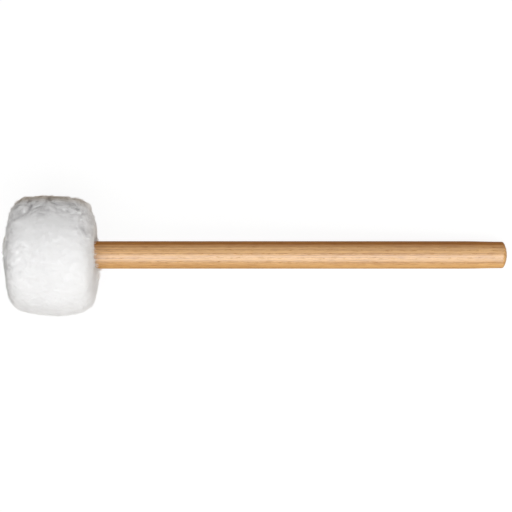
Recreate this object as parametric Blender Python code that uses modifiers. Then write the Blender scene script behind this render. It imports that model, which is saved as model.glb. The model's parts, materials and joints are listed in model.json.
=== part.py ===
"""Gong mallet: a turned hickory handle with a big soft head, lying on a table.

The mallet is modelled standing on its butt, with its axis along Z and the head on top.
An empty, mallet_axis, then lays it down: it rests on the underside of the head and on
the lower edge of the butt, with the handle towards +X, as a mallet lies on a table.

The head is built from the inside out, as it is on the bench. A turned core is pushed on
the handle's tenon and held by a screw and a wide washer. Two felt discs and a wound felt
strip go round it, then soft padding, then a fleece cover that two drawstrings close.
"""

import math

import bmesh
import bpy

MM = 0.001

# Handle. The length runs from the butt to the shoulder that stops the core.
SHAFT_LENGTH = 345.4 * MM
HANDLE_DIAMETER = 22.2 * MM
SHOULDER_WIDTH = 1.6 * MM
BUTT_TAPER_LENGTH = 36.0 * MM
BUTT_TAPER_DEPTH = 0.45 * MM
BUTT_CORNER_RADIUS = 3.0 * MM
BUTT_DOME_RADIUS = 20.0 * MM
BUTT_FLAT_DIAMETER = 6.0 * MM
EDGE_CHAMFER = 0.8 * MM

# Core, with its bore for the tenon and its recess for the washer.
CORE_DIAMETER = 50.0 * MM
CORE_LENGTH = 42.0 * MM
CORE_EDGE = 2.0 * MM
TENON_RELIEF = 1.5 * MM

# Wood screw and washer.
WASHER_DIAMETER = 31.8 * MM
WASHER_THICKNESS = 1.6 * MM
SCREW_DIAMETER = 4.8 * MM
SCREW_LENGTH = 32.0 * MM
SCREW_THREAD_LENGTH = 23.0 * MM
SCREW_PITCH = 2.6 * MM
SCREW_THREAD_DEPTH = 0.9 * MM
SCREW_POINT_LENGTH = 5.0 * MM
SCREW_HEAD_DIAMETER = 9.4 * MM
SCREW_HEAD_HEIGHT = 3.2 * MM
SCREW_HEAD_RIM = 1.0 * MM
SCREW_CROSS_WIDTH = 1.2 * MM
SCREW_CROSS_LENGTH = 5.2 * MM
SCREW_CROSS_DEPTH = 1.8 * MM

# Felt discs, and the felt strip wound on the core with its ends shaved thin.
DISC_THICKNESS = 6.0 * MM
DISC_EDGE = 1.0 * MM
STRIP_THICKNESS = 4.0 * MM
STRIP_TIP = 0.5 * MM
STRIP_TURNS = 2
STRIP_SHAVED_ANGLE = math.radians(60)
STRIP_BRIDGE_ANGLE = math.radians(22.5)

# Padding and fleece cover. The cover is backing and pile together. Each is a rounded
# barrel, and its two ends bulge by their crowns.
PADDING_SIDE = 5.8 * MM
PADDING_END = 3.8 * MM
PADDING_FRONT_CROWN = 2.4 * MM
PADDING_REAR_CROWN = 1.2 * MM
COVER_THICKNESS = 8.0 * MM
COVER_FRONT_CROWN = 5.0 * MM
COVER_REAR_CROWN = 1.2 * MM
HEAD_SQUARENESS = 4.0
PRESSED_FLAT = 1.5 * MM

# The cover's two gathered mouths: at the neck, round the handle, and the pucker in front.
NECK_LIP = 1.2 * MM
NECK_DIMPLE_WIDTH = 11.0 * MM
PUCKER_HOLE_DIAMETER = 5.0 * MM
PUCKER_LIP = 2.4 * MM
PUCKER_DIMPLE_WIDTH = 10.0 * MM

# Threads: the two drawstrings, and the stitches of the cover's side seam.
DRAWSTRING_DIAMETER = 0.9 * MM
DRAWSTRING_LAY = 0.35 * MM
NECK_TURNS = 1.25
PUCKER_RING_RADIUS = 4.2 * MM
PUCKER_TAIL_SPACING = 1.8 * MM
PUCKER_TAIL_LENGTH = 6.0 * MM
SEAM_THREAD_DIAMETER = 0.8 * MM
SEAM_STITCH_WIDTH = 2.2 * MM
SEAM_STITCH_DEPTH = 1.4 * MM
SEAM_STITCH_PITCH = 4.0 * MM
SEAM_STITCHES = 8

# Clearances: between pieces that touch, between pieces that slide, and round a thread.
SEAT_GAP = 0.3 * MM
SLIP_GAP = 0.3 * MM
THREAD_GAP = 0.35 * MM

# Fineness of the round shapes.
ROUND_STEPS = 40
BARREL_STEPS = 11
DIMPLE_STEPS = 4
ARC_STEPS = 4
STRIP_STEP = math.radians(7.5)
SCREW_SIDES = 12
THREAD_RINGS_PER_TURN = 4
DRAWSTRING_STEPS = 24
STITCH_POINTS = 8
BISECTIONS = 50
WELD = 0.00001

# Radii, and stations along the axis, that follow from the sizes above.
HANDLE_RADIUS = HANDLE_DIAMETER / 2
TENON_RADIUS = HANDLE_RADIUS - SHOULDER_WIDTH
BORE_RADIUS = TENON_RADIUS + SLIP_GAP
PILOT_RADIUS = SCREW_DIAMETER / 2 + SLIP_GAP
CORE_RADIUS = CORE_DIAMETER / 2
CORE_REAR = SHAFT_LENGTH + SEAT_GAP
CORE_FRONT = CORE_REAR + CORE_LENGTH
WASHER_FLOOR = CORE_FRONT - 3 * SEAT_GAP - WASHER_THICKNESS - SCREW_HEAD_HEIGHT
TENON_END = WASHER_FLOOR - TENON_RELIEF
SCREW_SEAT = WASHER_FLOOR + 2 * SEAT_GAP + WASHER_THICKNESS
SCREW_END = SCREW_SEAT - SCREW_LENGTH
STACK_REAR = SHAFT_LENGTH - DISC_THICKNESS
STACK_FRONT = CORE_FRONT + SEAT_GAP + DISC_THICKNESS
STACK_HALF = (STACK_FRONT - STACK_REAR) / 2
HEAD_CENTRE = (STACK_REAR + STACK_FRONT) / 2
STRIP_INNER_RADIUS = CORE_RADIUS + SEAT_GAP
STRIP_OUTER_RADIUS = STRIP_INNER_RADIUS + STRIP_TURNS * (STRIP_THICKNESS + SEAT_GAP) + STRIP_TIP
PADDING_RADIUS = STRIP_OUTER_RADIUS + SEAT_GAP + PADDING_SIDE
PADDING_HALF = STACK_HALF + SEAT_GAP + PADDING_END
LINING_RADIUS = PADDING_RADIUS + SEAT_GAP
LINING_HALF = PADDING_HALF + SEAT_GAP
COVER_RADIUS = LINING_RADIUS + COVER_THICKNESS
COVER_HALF = LINING_HALF + COVER_THICKNESS
DRAWSTRING_RADIUS = DRAWSTRING_DIAMETER / 2
NECK_RADIUS = HANDLE_RADIUS + SLIP_GAP
NECK_CASING_RADIUS = NECK_RADIUS + DRAWSTRING_DIAMETER + 2 * THREAD_GAP
NECK_CASING_DEPTH = (
    NECK_TURNS * (DRAWSTRING_DIAMETER + DRAWSTRING_LAY) + DRAWSTRING_DIAMETER + THREAD_GAP
)
NECK_DIMPLE_DEPTH = COVER_THICKNESS - NECK_CASING_DEPTH - NECK_LIP
PUCKER_RADIUS = PUCKER_HOLE_DIAMETER / 2
PUCKER_CASING_RADIUS = PUCKER_RING_RADIUS + DRAWSTRING_RADIUS + THREAD_GAP
PUCKER_CASING_DEPTH = DRAWSTRING_DIAMETER + 2 * THREAD_GAP
PUCKER_DIMPLE_DEPTH = COVER_THICKNESS - PUCKER_CASING_DEPTH - PUCKER_LIP


def clear_scene():
    for old in list(bpy.data.objects):
        bpy.data.objects.remove(old, do_unlink=True)


def new_collection(name):
    made = bpy.data.collections.new(name)
    bpy.context.scene.collection.children.link(made)
    return made


def finish_of(name, colour, roughness, metallic=0.0):
    """A plain Principled BSDF in the part's own colour."""
    made = bpy.data.materials.new(name)
    made.use_nodes = True
    shader = made.node_tree.nodes["Principled BSDF"]
    shader.inputs["Base Color"].default_value = (*colour, 1.0)
    shader.inputs["Roughness"].default_value = roughness
    shader.inputs["Metallic"].default_value = metallic
    made.diffuse_color = (*colour, 1.0)
    return made


def place(name, data, finish, parent, collection):
    """An object for the data, on its parent's axis."""
    made = bpy.data.objects.new(name, data)
    if finish:
        data.materials.append(finish)
    collection.objects.link(made)
    made.parent = parent
    return made


def turned(name, profile, finish, parent, collection, closed=False):
    """A turned piece. The profile is (radius, station) pairs that run down its outer side."""
    mesh = bpy.data.meshes.new(name)
    count = len(profile)
    edges = [(i, i + 1) for i in range(count - 1)]
    if closed:
        edges.append((count - 1, 0))
    mesh.from_pydata([(radius, 0.0, station) for radius, station in profile], edges, [])
    made = place(name, mesh, finish, parent, collection)
    screw = made.modifiers.new("turn", "SCREW")
    screw.axis = "Z"
    screw.steps = ROUND_STEPS
    screw.render_steps = ROUND_STEPS
    screw.use_merge_vertices = True
    screw.merge_threshold = WELD
    screw.use_smooth_shade = True
    return made


def thread(name, points, diameter, finish, parent, collection):
    """A thread that follows the points."""
    curve = bpy.data.curves.new(name, "CURVE")
    curve.dimensions = "3D"
    curve.bevel_depth = diameter / 2
    curve.bevel_resolution = 2
    curve.use_fill_caps = True
    spline = curve.splines.new("POLY")
    spline.points.add(len(points) - 1)
    for point, where in zip(spline.points, points):
        point.co = (*where, 1.0)
    return place(name, curve, finish, parent, collection)


def box_cutter(name, size, centre, parent, collection):
    """A block that cuts other pieces."""
    mesh = bpy.data.meshes.new(name)
    block = bmesh.new()
    bmesh.ops.create_cube(block, size=1.0)
    bmesh.ops.scale(block, vec=size, verts=block.verts)
    block.to_mesh(mesh)
    block.free()
    made = place(name, mesh, None, parent, collection)
    made.location = centre
    made.hide_render = True
    made.display_type = "WIRE"
    return made


def cut(piece, cutter):
    boolean = piece.modifiers.new("cut by " + cutter.name, "BOOLEAN")
    boolean.operation = "DIFFERENCE"
    boolean.object = cutter


def on_circle(radius, angle):
    return radius * math.cos(angle), radius * math.sin(angle)


def arc(centre, radius, start, end, steps=ARC_STEPS):
    """Points on an arc from angle start to angle end, with both ends."""
    angles = [start + (end - start) * i / steps for i in range(steps + 1)]
    around = [on_circle(radius, angle) for angle in angles]
    return [(centre[0] + x, centre[1] + y) for x, y in around]


def smooth_step(low, high, value):
    share = min(1.0, max(0.0, (value - low) / (high - low)))
    return share * share * (3 - 2 * share)


def end_height(out, half, radius, crown):
    """The height of a barrel's end face over its centre: a squared ellipse, bulged by the crown."""
    share = out / radius
    return (half - crown * share**2) * (1 - share**HEAD_SQUARENESS) ** (1 / HEAD_SQUARENESS)


def side_radius(height, half, radius, crown):
    """The radius of a barrel's side at a height, found by halving."""
    low, high = 0.0, radius
    for _ in range(BISECTIONS):
        middle = (low + high) / 2
        if end_height(middle, half, radius, crown) > height:
            low = middle
        else:
            high = middle
    return low


def corner_radii(radius, innermost):
    """Radii that lie close together where a squared ellipse bends most."""
    angles = [math.pi / 2 * i / BARREL_STEPS for i in range(1, BARREL_STEPS)]
    radii = [radius * math.sin(angle) ** (2 / HEAD_SQUARENESS) for angle in angles]
    return [out for out in radii if out > innermost]


def barrel(half, radius, crowns, front_radii, rear_radii):
    """A barrel's outline from its front face, down the outer side, to its rear face.

    The two lists are radii on the end faces, from the axis outwards. Heights count from
    the barrel's centre.
    """
    front_crown, rear_crown = crowns
    front = front_radii + corner_radii(radius, front_radii[-1])
    rear = rear_radii + corner_radii(radius, rear_radii[-1])
    return (
        [(out, end_height(out, half, radius, front_crown)) for out in front]
        + [(radius, 0.0)]
        + [(out, -end_height(out, half, radius, rear_crown)) for out in rear[::-1]]
    )


def dimple_radii(hole, width):
    return [hole + width * i / DIMPLE_STEPS for i in range(DIMPLE_STEPS + 1)]


def gathered(point):
    """Where the drawstrings pull a point of the cover's outside in, round the neck and the pucker."""
    out, height = point
    if height < 0:
        pull = 1 - smooth_step(NECK_RADIUS, NECK_RADIUS + NECK_DIMPLE_WIDTH, out)
        return out, height + NECK_DIMPLE_DEPTH * pull
    pull = 1 - smooth_step(PUCKER_RADIUS, PUCKER_RADIUS + PUCKER_DIMPLE_WIDTH, out)
    return out, height - PUCKER_DIMPLE_DEPTH * pull


def handle_profile():
    """From the foot of the screw's pilot hole, over the tenon and down the shaft, to the domed butt."""
    butt_radius = HANDLE_RADIUS - BUTT_TAPER_DEPTH
    flat_radius = BUTT_FLAT_DIAMETER / 2
    corner_out = butt_radius - BUTT_CORNER_RADIUS
    dome_centre = math.sqrt(BUTT_DOME_RADIUS**2 - flat_radius**2)
    corner_drop = math.sqrt((BUTT_DOME_RADIUS - BUTT_CORNER_RADIUS) ** 2 - corner_out**2)
    corner_angle = -math.atan2(corner_drop, corner_out)
    flat_angle = -math.acos(flat_radius / BUTT_DOME_RADIUS)
    corner = arc((corner_out, dome_centre - corner_drop), BUTT_CORNER_RADIUS, 0.0, corner_angle)
    dome = arc((0.0, dome_centre), BUTT_DOME_RADIUS, corner_angle, flat_angle)
    pilot_end = SCREW_END - TENON_RELIEF
    return (
        [
            (0.0, pilot_end - PILOT_RADIUS / 2),
            (PILOT_RADIUS, pilot_end),
            (PILOT_RADIUS, TENON_END),
            (TENON_RADIUS - EDGE_CHAMFER, TENON_END),
            (TENON_RADIUS, TENON_END - EDGE_CHAMFER),
            (TENON_RADIUS, SHAFT_LENGTH),
            (HANDLE_RADIUS - EDGE_CHAMFER, SHAFT_LENGTH),
            (HANDLE_RADIUS, SHAFT_LENGTH - EDGE_CHAMFER),
            (HANDLE_RADIUS, BUTT_TAPER_LENGTH),
        ]
        + corner
        + dome[1:]
        + [(0.0, 0.0)]
    )


def core_profile():
    recess_radius = WASHER_DIAMETER / 2 + SLIP_GAP
    inside = CORE_RADIUS - CORE_EDGE
    return (
        [(BORE_RADIUS, WASHER_FLOOR), (recess_radius, WASHER_FLOOR), (recess_radius, CORE_FRONT)]
        + arc((inside, CORE_FRONT - CORE_EDGE), CORE_EDGE, math.pi / 2, 0.0)
        + arc((inside, CORE_REAR + CORE_EDGE), CORE_EDGE, 0.0, -math.pi / 2)
        + [(BORE_RADIUS + EDGE_CHAMFER, CORE_REAR), (BORE_RADIUS, CORE_REAR + EDGE_CHAMFER)]
    )


def washer_profile():
    bottom = WASHER_FLOOR + SEAT_GAP
    top = bottom + WASHER_THICKNESS
    hole, rim = SCREW_DIAMETER / 2 + SLIP_GAP, WASHER_DIAMETER / 2
    return [(hole, top), (rim, top), (rim, bottom), (hole, bottom)]


def disc_profile(bottom, hole):
    """A felt disc with rounded edges. With no hole, the outline ends on the axis."""
    top = bottom + DISC_THICKNESS
    inside = CORE_RADIUS - DISC_EDGE
    return (
        [(hole, top)]
        + arc((inside, top - DISC_EDGE), DISC_EDGE, math.pi / 2, 0.0, 2)
        + arc((inside, bottom + DISC_EDGE), DISC_EDGE, 0.0, -math.pi / 2, 2)
        + [(hole, bottom)]
    )


def strip_thickness(angle):
    """The felt strip is shaved thin over its first and last stretch."""
    last = STRIP_TURNS * 2 * math.pi + STRIP_SHAVED_ANGLE
    share = min(1.0, angle / STRIP_SHAVED_ANGLE, (last - angle) / STRIP_SHAVED_ANGLE)
    return STRIP_TIP + (STRIP_THICKNESS - STRIP_TIP) * share


def strip_outline():
    """The wound strip seen along the axis: out along its outer side, back along its inner side."""
    full_turn = 2 * math.pi
    per_turn = round(full_turn / STRIP_STEP)
    count = round((STRIP_TURNS * full_turn + STRIP_SHAVED_ANGLE) / STRIP_STEP)
    inner, outer = [], []
    for i in range(count + 1):
        angle = i * STRIP_STEP
        if i < per_turn:
            lifted = smooth_step(full_turn - STRIP_BRIDGE_ANGLE, full_turn, angle)
            inner.append(STRIP_INNER_RADIUS + lifted * (STRIP_TIP + SEAT_GAP))
        else:
            inner.append(outer[i - per_turn] + SEAT_GAP)
        outer.append(inner[i] + strip_thickness(angle))
    there = [on_circle(radius, i * STRIP_STEP) for i, radius in enumerate(outer)]
    back = [on_circle(radius, i * STRIP_STEP) for i, radius in enumerate(inner)]
    return there + back[::-1]


def wound_strip(name, finish, parent, collection):
    curve = bpy.data.curves.new(name, "CURVE")
    curve.dimensions = "2D"
    curve.fill_mode = "BOTH"
    curve.extrude = CORE_LENGTH / 2
    outline = strip_outline()
    spline = curve.splines.new("POLY")
    spline.points.add(len(outline) - 1)
    for point, (x, y) in zip(spline.points, outline):
        point.co = (x, y, 0.0, 1.0)
    spline.use_cyclic_u = True
    made = place(name, curve, finish, parent, collection)
    made.location = (0.0, 0.0, CORE_REAR + CORE_LENGTH / 2)
    return made


def padding_profile():
    """From the front pole down the outside, in at the neck, and back up the stepped hollow."""
    crowns = (PADDING_FRONT_CROWN, PADDING_REAR_CROWN)
    outside = barrel(PADDING_HALF, PADDING_RADIUS, crowns, [0.0], [NECK_RADIUS])
    disc_end = STACK_HALF + SEAT_GAP
    strip_end = CORE_LENGTH / 2 + SEAT_GAP
    disc_wall = CORE_RADIUS + SEAT_GAP
    strip_wall = STRIP_OUTER_RADIUS + SEAT_GAP
    hollow = [
        (NECK_RADIUS, -disc_end),
        (disc_wall, -disc_end),
        (disc_wall, -strip_end),
        (strip_wall, -strip_end),
        (strip_wall, strip_end),
        (disc_wall, strip_end),
        (disc_wall, disc_end),
        (0.0, disc_end),
    ]
    return [(out, HEAD_CENTRE + height) for out, height in outside + hollow]


def cover_profile():
    """From the pucker's hole down the outside to the neck, then up the lining."""
    outside = barrel(
        COVER_HALF,
        COVER_RADIUS,
        (COVER_FRONT_CROWN, COVER_REAR_CROWN),
        dimple_radii(PUCKER_RADIUS, PUCKER_DIMPLE_WIDTH),
        dimple_radii(NECK_RADIUS, NECK_DIMPLE_WIDTH),
    )
    crowns = (PADDING_FRONT_CROWN, PADDING_REAR_CROWN)
    lining = barrel(
        LINING_HALF, LINING_RADIUS, crowns, [PUCKER_CASING_RADIUS], [NECK_CASING_RADIUS]
    )
    pucker_floor = lining[0][1] + PUCKER_CASING_DEPTH
    neck_floor = lining[-1][1] - NECK_CASING_DEPTH
    loop = (
        [gathered(point) for point in outside]
        + [(NECK_RADIUS, neck_floor), (NECK_CASING_RADIUS, neck_floor)]
        + lining[::-1]
        + [(PUCKER_CASING_RADIUS, pucker_floor), (PUCKER_RADIUS, pucker_floor)]
    )
    return [(out, HEAD_CENTRE + height) for out, height in loop]


def screw_rings():
    """(radius, thread depth, station) of each ring, from the middle of the screw's head to its point."""
    head, shank = SCREW_HEAD_DIAMETER / 2, SCREW_DIAMETER / 2
    dome = SCREW_HEAD_HEIGHT - SCREW_HEAD_RIM
    slopes = [math.radians(degrees) for degrees in (75, 60, 45, 30, 0)]
    rings = [
        (head * math.cos(slope), 0.0, SCREW_SEAT + SCREW_HEAD_RIM + dome * math.sin(slope))
        for slope in slopes
    ]
    thread_start = SCREW_END + SCREW_THREAD_LENGTH
    rings += [(head, 0.0, SCREW_SEAT), (shank, 0.0, SCREW_SEAT), (shank, 0.0, thread_start)]
    step = SCREW_PITCH / THREAD_RINGS_PER_TURN
    for i in range(1, int(SCREW_THREAD_LENGTH / step)):
        station = thread_start - i * step
        slim = min(1.0, (station - SCREW_END) / SCREW_POINT_LENGTH)
        rings.append((shank * slim, SCREW_THREAD_DEPTH * slim, station))
    return rings


def screw_mesh(name):
    """Rings round the axis. On the thread, each point dips once in every pitch and turn."""
    mesh = bmesh.new()
    rings = []
    for radius, depth, station in screw_rings():
        ring = []
        for side in range(SCREW_SIDES):
            turn = side / SCREW_SIDES
            phase = (station / SCREW_PITCH - turn) % 1.0
            out = radius - depth * (1 - abs(2 * phase - 1))
            x, y = on_circle(out, 2 * math.pi * turn)
            ring.append(mesh.verts.new((x, y, station)))
        rings.append(ring)
    mesh.faces.new(rings[0])
    for upper, lower in zip(rings, rings[1:]):
        for side in range(SCREW_SIDES):
            after = (side + 1) % SCREW_SIDES
            mesh.faces.new((upper[side], lower[side], lower[after], upper[after]))
    tip = mesh.verts.new((0.0, 0.0, SCREW_END))
    for side in range(SCREW_SIDES):
        mesh.faces.new((rings[-1][side], tip, rings[-1][(side + 1) % SCREW_SIDES]))
    bmesh.ops.recalc_face_normals(mesh, faces=mesh.faces)
    made = bpy.data.meshes.new(name)
    mesh.to_mesh(made)
    mesh.free()
    return made


def core_screw(name, finish, parent, parts, cutters):
    made = place(name, screw_mesh(name), finish, parent, parts)
    top = (0.0, 0.0, SCREW_SEAT + SCREW_HEAD_HEIGHT)
    long_way = (SCREW_CROSS_LENGTH, SCREW_CROSS_WIDTH, 2 * SCREW_CROSS_DEPTH)
    other_way = (SCREW_CROSS_WIDTH, SCREW_CROSS_LENGTH, 2 * SCREW_CROSS_DEPTH)
    cut(made, box_cutter("cross_slot", long_way, top, parent, cutters))
    cut(made, box_cutter("cross_slot_square_to_it", other_way, top, parent, cutters))
    return made


def neck_drawstring_points():
    """A turn and a quarter round the handle, in the casing of the cover's neck."""
    radius = NECK_RADIUS + THREAD_GAP + DRAWSTRING_RADIUS
    lining = end_height(NECK_CASING_RADIUS, LINING_HALF, LINING_RADIUS, PADDING_REAR_CROWN)
    start = HEAD_CENTRE - lining - THREAD_GAP / 2 - DRAWSTRING_RADIUS
    rise = DRAWSTRING_DIAMETER + DRAWSTRING_LAY
    points = []
    for i in range(round(NECK_TURNS * DRAWSTRING_STEPS) + 1):
        turns = i / DRAWSTRING_STEPS
        x, y = on_circle(radius, 2 * math.pi * turns)
        points.append((x, y, start - rise * turns))
    return points


def pucker_drawstring_points():
    """A ring round the pucker's hole, with both ends brought out through it."""
    lining = end_height(PUCKER_CASING_RADIUS, LINING_HALF, LINING_RADIUS, PADDING_FRONT_CROWN)
    level = HEAD_CENTRE + lining + THREAD_GAP + DRAWSTRING_RADIUS
    aside = PUCKER_TAIL_SPACING / 2
    bend = PUCKER_RING_RADIUS / 4
    tail = [
        (0.0, aside, level + PUCKER_TAIL_LENGTH),
        (0.0, aside, level + bend),
        (bend / 3, aside, level + bend / 3),
        (bend, aside, level),
    ]
    opening = 2 * math.asin(aside / PUCKER_RING_RADIUS)
    ring = []
    for i in range(DRAWSTRING_STEPS + 1):
        angle = opening + (2 * math.pi - 2 * opening) * i / DRAWSTRING_STEPS
        ring.append((*on_circle(PUCKER_RING_RADIUS, angle), level))
    return tail + ring + [(x, -y, z) for x, y, z in tail[::-1]]


def padding_side(height):
    return side_radius(abs(height), PADDING_HALF, PADDING_RADIUS, PADDING_FRONT_CROWN)


def seam_points():
    """Overcast stitches on the side of the head that the mallet lies on."""
    sunk = SEAT_GAP + (SEAM_THREAD_DIAMETER + SEAM_STITCH_DEPTH) / 2
    points = []
    for i in range(SEAM_STITCHES * STITCH_POINTS + 1):
        turns = i / STITCH_POINTS
        height = (turns - SEAM_STITCHES / 2) * SEAM_STITCH_PITCH
        across = SEAM_STITCH_WIDTH / 2 * math.sin(2 * math.pi * turns)
        deep = sunk - SEAM_STITCH_DEPTH / 2 * math.cos(2 * math.pi * turns)
        points.append((deep - padding_side(height), across, HEAD_CENTRE + height))
    return points


def seam_groove(parent, cutters):
    """The channel in the padding that the cover's turned-in seam lies in."""
    width = SEAM_STITCH_WIDTH + SEAM_THREAD_DIAMETER + 2 * SEAT_GAP
    half_length = SEAM_STITCHES * SEAM_STITCH_PITCH / 2 + SEAM_THREAD_DIAMETER
    deepest = SEAM_STITCH_DEPTH + SEAM_THREAD_DIAMETER + 2 * SEAT_GAP
    floor = padding_side(half_length) - deepest
    depth = PADDING_RADIUS + SEAT_GAP - floor
    centre = (-floor - depth / 2, 0.0, HEAD_CENTRE)
    return box_cutter("seam_groove", (depth, width, 2 * half_length), centre, parent, cutters)


def lowest(profile, lean):
    """How far below the axis's foot a turned profile reaches, with its axis leaning so much."""
    return max(radius * math.cos(lean) - station * math.sin(lean) for radius, station in profile)


def lean_at_rest():
    """The slope of the axis, and the height of its foot, when butt and pressed head both touch."""
    butt = [point for point in handle_profile() if point[1] < HEAD_CENTRE / 2]
    low, high = 0.0, math.pi / 4
    for _ in range(BISECTIONS):
        middle = (low + high) / 2
        if lowest(cover_profile(), middle) - PRESSED_FLAT > lowest(butt, middle):
            low = middle
        else:
            high = middle
    return low, lowest(butt, low)


def reach(profile, lean, way):
    """How far a turned profile reaches along the table, towards the butt (way 1) or the head (-1)."""
    return max(
        radius * math.sin(lean) - way * station * math.cos(lean) for radius, station in profile
    )


def mallet_axis(collection):
    """The empty that lays the mallet on the table, with its box centred over the origin."""
    lean, height = lean_at_rest()
    towards_head = reach(cover_profile(), lean, -1)
    towards_butt = reach(handle_profile(), lean, 1)
    made = bpy.data.objects.new("mallet_axis", None)
    collection.objects.link(made)
    made.rotation_euler = (0.0, lean - math.pi / 2, 0.0)
    made.location = ((towards_head - towards_butt) / 2, 0.0, height)
    return made


def table(cutters):
    """The block under the table's top, which presses the head's underside flat."""
    across = 4 * COVER_RADIUS
    return box_cutter("table", (2 * SHAFT_LENGTH, across, across), (0, 0, -across / 2), None, cutters)


def build():
    clear_scene()
    parts = new_collection("gong_mallet")
    cutters = new_collection("cutters")
    axis = mallet_axis(parts)

    hickory = finish_of("lacquered hickory", (0.62, 0.40, 0.21), 0.38)
    maple = finish_of("turned maple", (0.68, 0.52, 0.34), 0.6)
    steel = finish_of("zinc-plated steel", (0.62, 0.62, 0.60), 0.35, 1.0)
    felt = finish_of("pressed wool felt", (0.72, 0.70, 0.64), 0.95)
    batting = finish_of("wool batting", (0.86, 0.85, 0.82), 1.0)
    fleece = finish_of("white fleece", (0.86, 0.86, 0.86), 0.95)
    waxed = finish_of("waxed thread", (0.80, 0.78, 0.72), 0.6)

    turned("handle", handle_profile(), hickory, axis, parts)
    turned("core", core_profile(), maple, axis, parts, closed=True)
    turned("core_washer", washer_profile(), steel, axis, parts, closed=True)
    core_screw("core_screw", steel, axis, parts, cutters)
    turned("rear_felt_disc", disc_profile(STACK_REAR, NECK_RADIUS), felt, axis, parts, closed=True)
    turned("front_felt_disc", disc_profile(CORE_FRONT + SEAT_GAP, 0.0), felt, axis, parts)
    wound_strip("felt_wrap", felt, axis, parts)

    padding = turned("padding", padding_profile(), batting, axis, parts)
    cut(padding, seam_groove(axis, cutters))
    cover = turned("fleece_cover", cover_profile(), fleece, axis, parts, closed=True)
    cut(cover, table(cutters))

    thread("seam_thread", seam_points(), SEAM_THREAD_DIAMETER, waxed, axis, parts)
    thread("neck_drawstring", neck_drawstring_points(), DRAWSTRING_DIAMETER, waxed, axis, parts)
    thread("pucker_drawstring", pucker_drawstring_points(), DRAWSTRING_DIAMETER, waxed, axis, parts)


build()
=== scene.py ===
# %% [markdown]
# # A gong mallet: bare lacquered wood and a soft white head
#
# The mallet is a turned hickory handle with a fat head of fleece drawn over felt. A packed
# model already holds every piece at its real size. This lesson gives the pieces their looks.
#
# We load that model first and never move it. A piece whose shape is right only gets a better
# material. The handle and the fleece are too coarse there, so finer pieces stand in for them.

# %% The frame and the tools
import json
import math

import bpy
import numpy as np
from mathutils import Matrix, Vector

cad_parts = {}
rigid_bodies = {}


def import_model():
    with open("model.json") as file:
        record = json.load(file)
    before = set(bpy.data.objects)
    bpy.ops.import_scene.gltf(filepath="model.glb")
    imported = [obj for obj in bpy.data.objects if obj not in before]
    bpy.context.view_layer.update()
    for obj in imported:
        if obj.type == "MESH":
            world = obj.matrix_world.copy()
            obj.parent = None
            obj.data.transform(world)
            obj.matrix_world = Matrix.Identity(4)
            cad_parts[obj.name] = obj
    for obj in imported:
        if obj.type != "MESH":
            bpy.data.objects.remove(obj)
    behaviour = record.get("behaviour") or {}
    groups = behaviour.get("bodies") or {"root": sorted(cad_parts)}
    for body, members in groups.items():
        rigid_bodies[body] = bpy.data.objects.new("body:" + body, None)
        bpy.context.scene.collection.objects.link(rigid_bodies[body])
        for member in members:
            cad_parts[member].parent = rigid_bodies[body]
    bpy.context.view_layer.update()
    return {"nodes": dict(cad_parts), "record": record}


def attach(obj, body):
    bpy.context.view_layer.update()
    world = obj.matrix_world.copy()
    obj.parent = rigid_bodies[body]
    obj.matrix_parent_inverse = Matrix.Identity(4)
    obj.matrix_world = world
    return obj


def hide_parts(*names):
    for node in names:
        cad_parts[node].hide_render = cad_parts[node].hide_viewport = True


for left_over in list(bpy.data.objects):
    bpy.data.objects.remove(left_over, do_unlink=True)
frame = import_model()
MM = 0.001

# %% [markdown]
# ## The mallet's own directions
#
# The mallet lies on a table on its head and the lower edge of its butt, so its axis slopes a
# little. Shapes are easier to describe along that axis, so we read it from the mount on the
# butt and count a point as a station (how far from the butt), a sideways step and a lift.

# %% Stations along the axis
butt_mount = next(m for m in frame["record"]["mounts"] if m["name"] == "butt_face")
butt = np.array(butt_mount["pos_m"])
towards_butt = np.array(butt_mount["axis"]) / np.linalg.norm(butt_mount["axis"])
along = -towards_butt
across = np.array((0.0, 1.0, 0.0))
lift = np.cross(towards_butt, across)


def in_place(station, sideways, lifted):
    """Points in the frame: the butt, plus the station along, plus the steps across and up."""
    parts = np.broadcast_arrays(station, sideways, lifted)
    return butt + sum(part[..., None] * way for part, way in zip(parts, (along, across, lift)))


def measured(name):
    """The lowest and highest station of a piece of the frame, and its largest radius."""
    mesh = frame["nodes"][name].data
    places = np.empty(len(mesh.vertices) * 3)
    mesh.vertices.foreach_get("co", places)
    steps = places.reshape(-1, 3) - butt
    stations = steps @ along
    radii = np.hypot(steps @ across, steps @ lift)
    return stations.min(), stations.max(), radii.max()


handle_size = measured("handle")
cover_size = measured("fleece_cover")
padding_size = measured("padding")
print("handle, cover, padding:", handle_size, cover_size, padding_size)

# %% [markdown]
# ## The camera
#
# The photograph is a flat catalogue view: the camera looks square at the handle, with the head
# on the left. It stood well back, because the two ends of the head hardly spread. We aim at a
# point on the axis, and the picture's width in millimetres at that distance gives the lens.

# %% Camera
PICTURE_PIXELS = 512
PIXEL = 0.806 * MM
CAMERA_DISTANCE = 1.5
CAMERA_STATION = 201.8 * MM
CAMERA_SIDEWAYS = -0.85 * MM
SENSOR_WIDTH = 36.0

camera_data = bpy.data.cameras.new("camera")
camera_data.sensor_width = SENSOR_WIDTH
camera_data.lens = SENSOR_WIDTH * CAMERA_DISTANCE / (PICTURE_PIXELS * PIXEL)
camera = bpy.data.objects.new("camera", camera_data)
bpy.context.scene.collection.objects.link(camera)
camera_place = in_place(CAMERA_STATION, CAMERA_SIDEWAYS, CAMERA_DISTANCE)
turned_to_mallet = Matrix((towards_butt, across, lift)).transposed().to_4x4()
camera.matrix_world = Matrix.Translation(Vector(camera_place)) @ turned_to_mallet
bpy.context.scene.camera = camera
bpy.context.scene.view_settings.view_transform = "Standard"
print("lens", round(camera_data.lens, 1), "mm")

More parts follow.
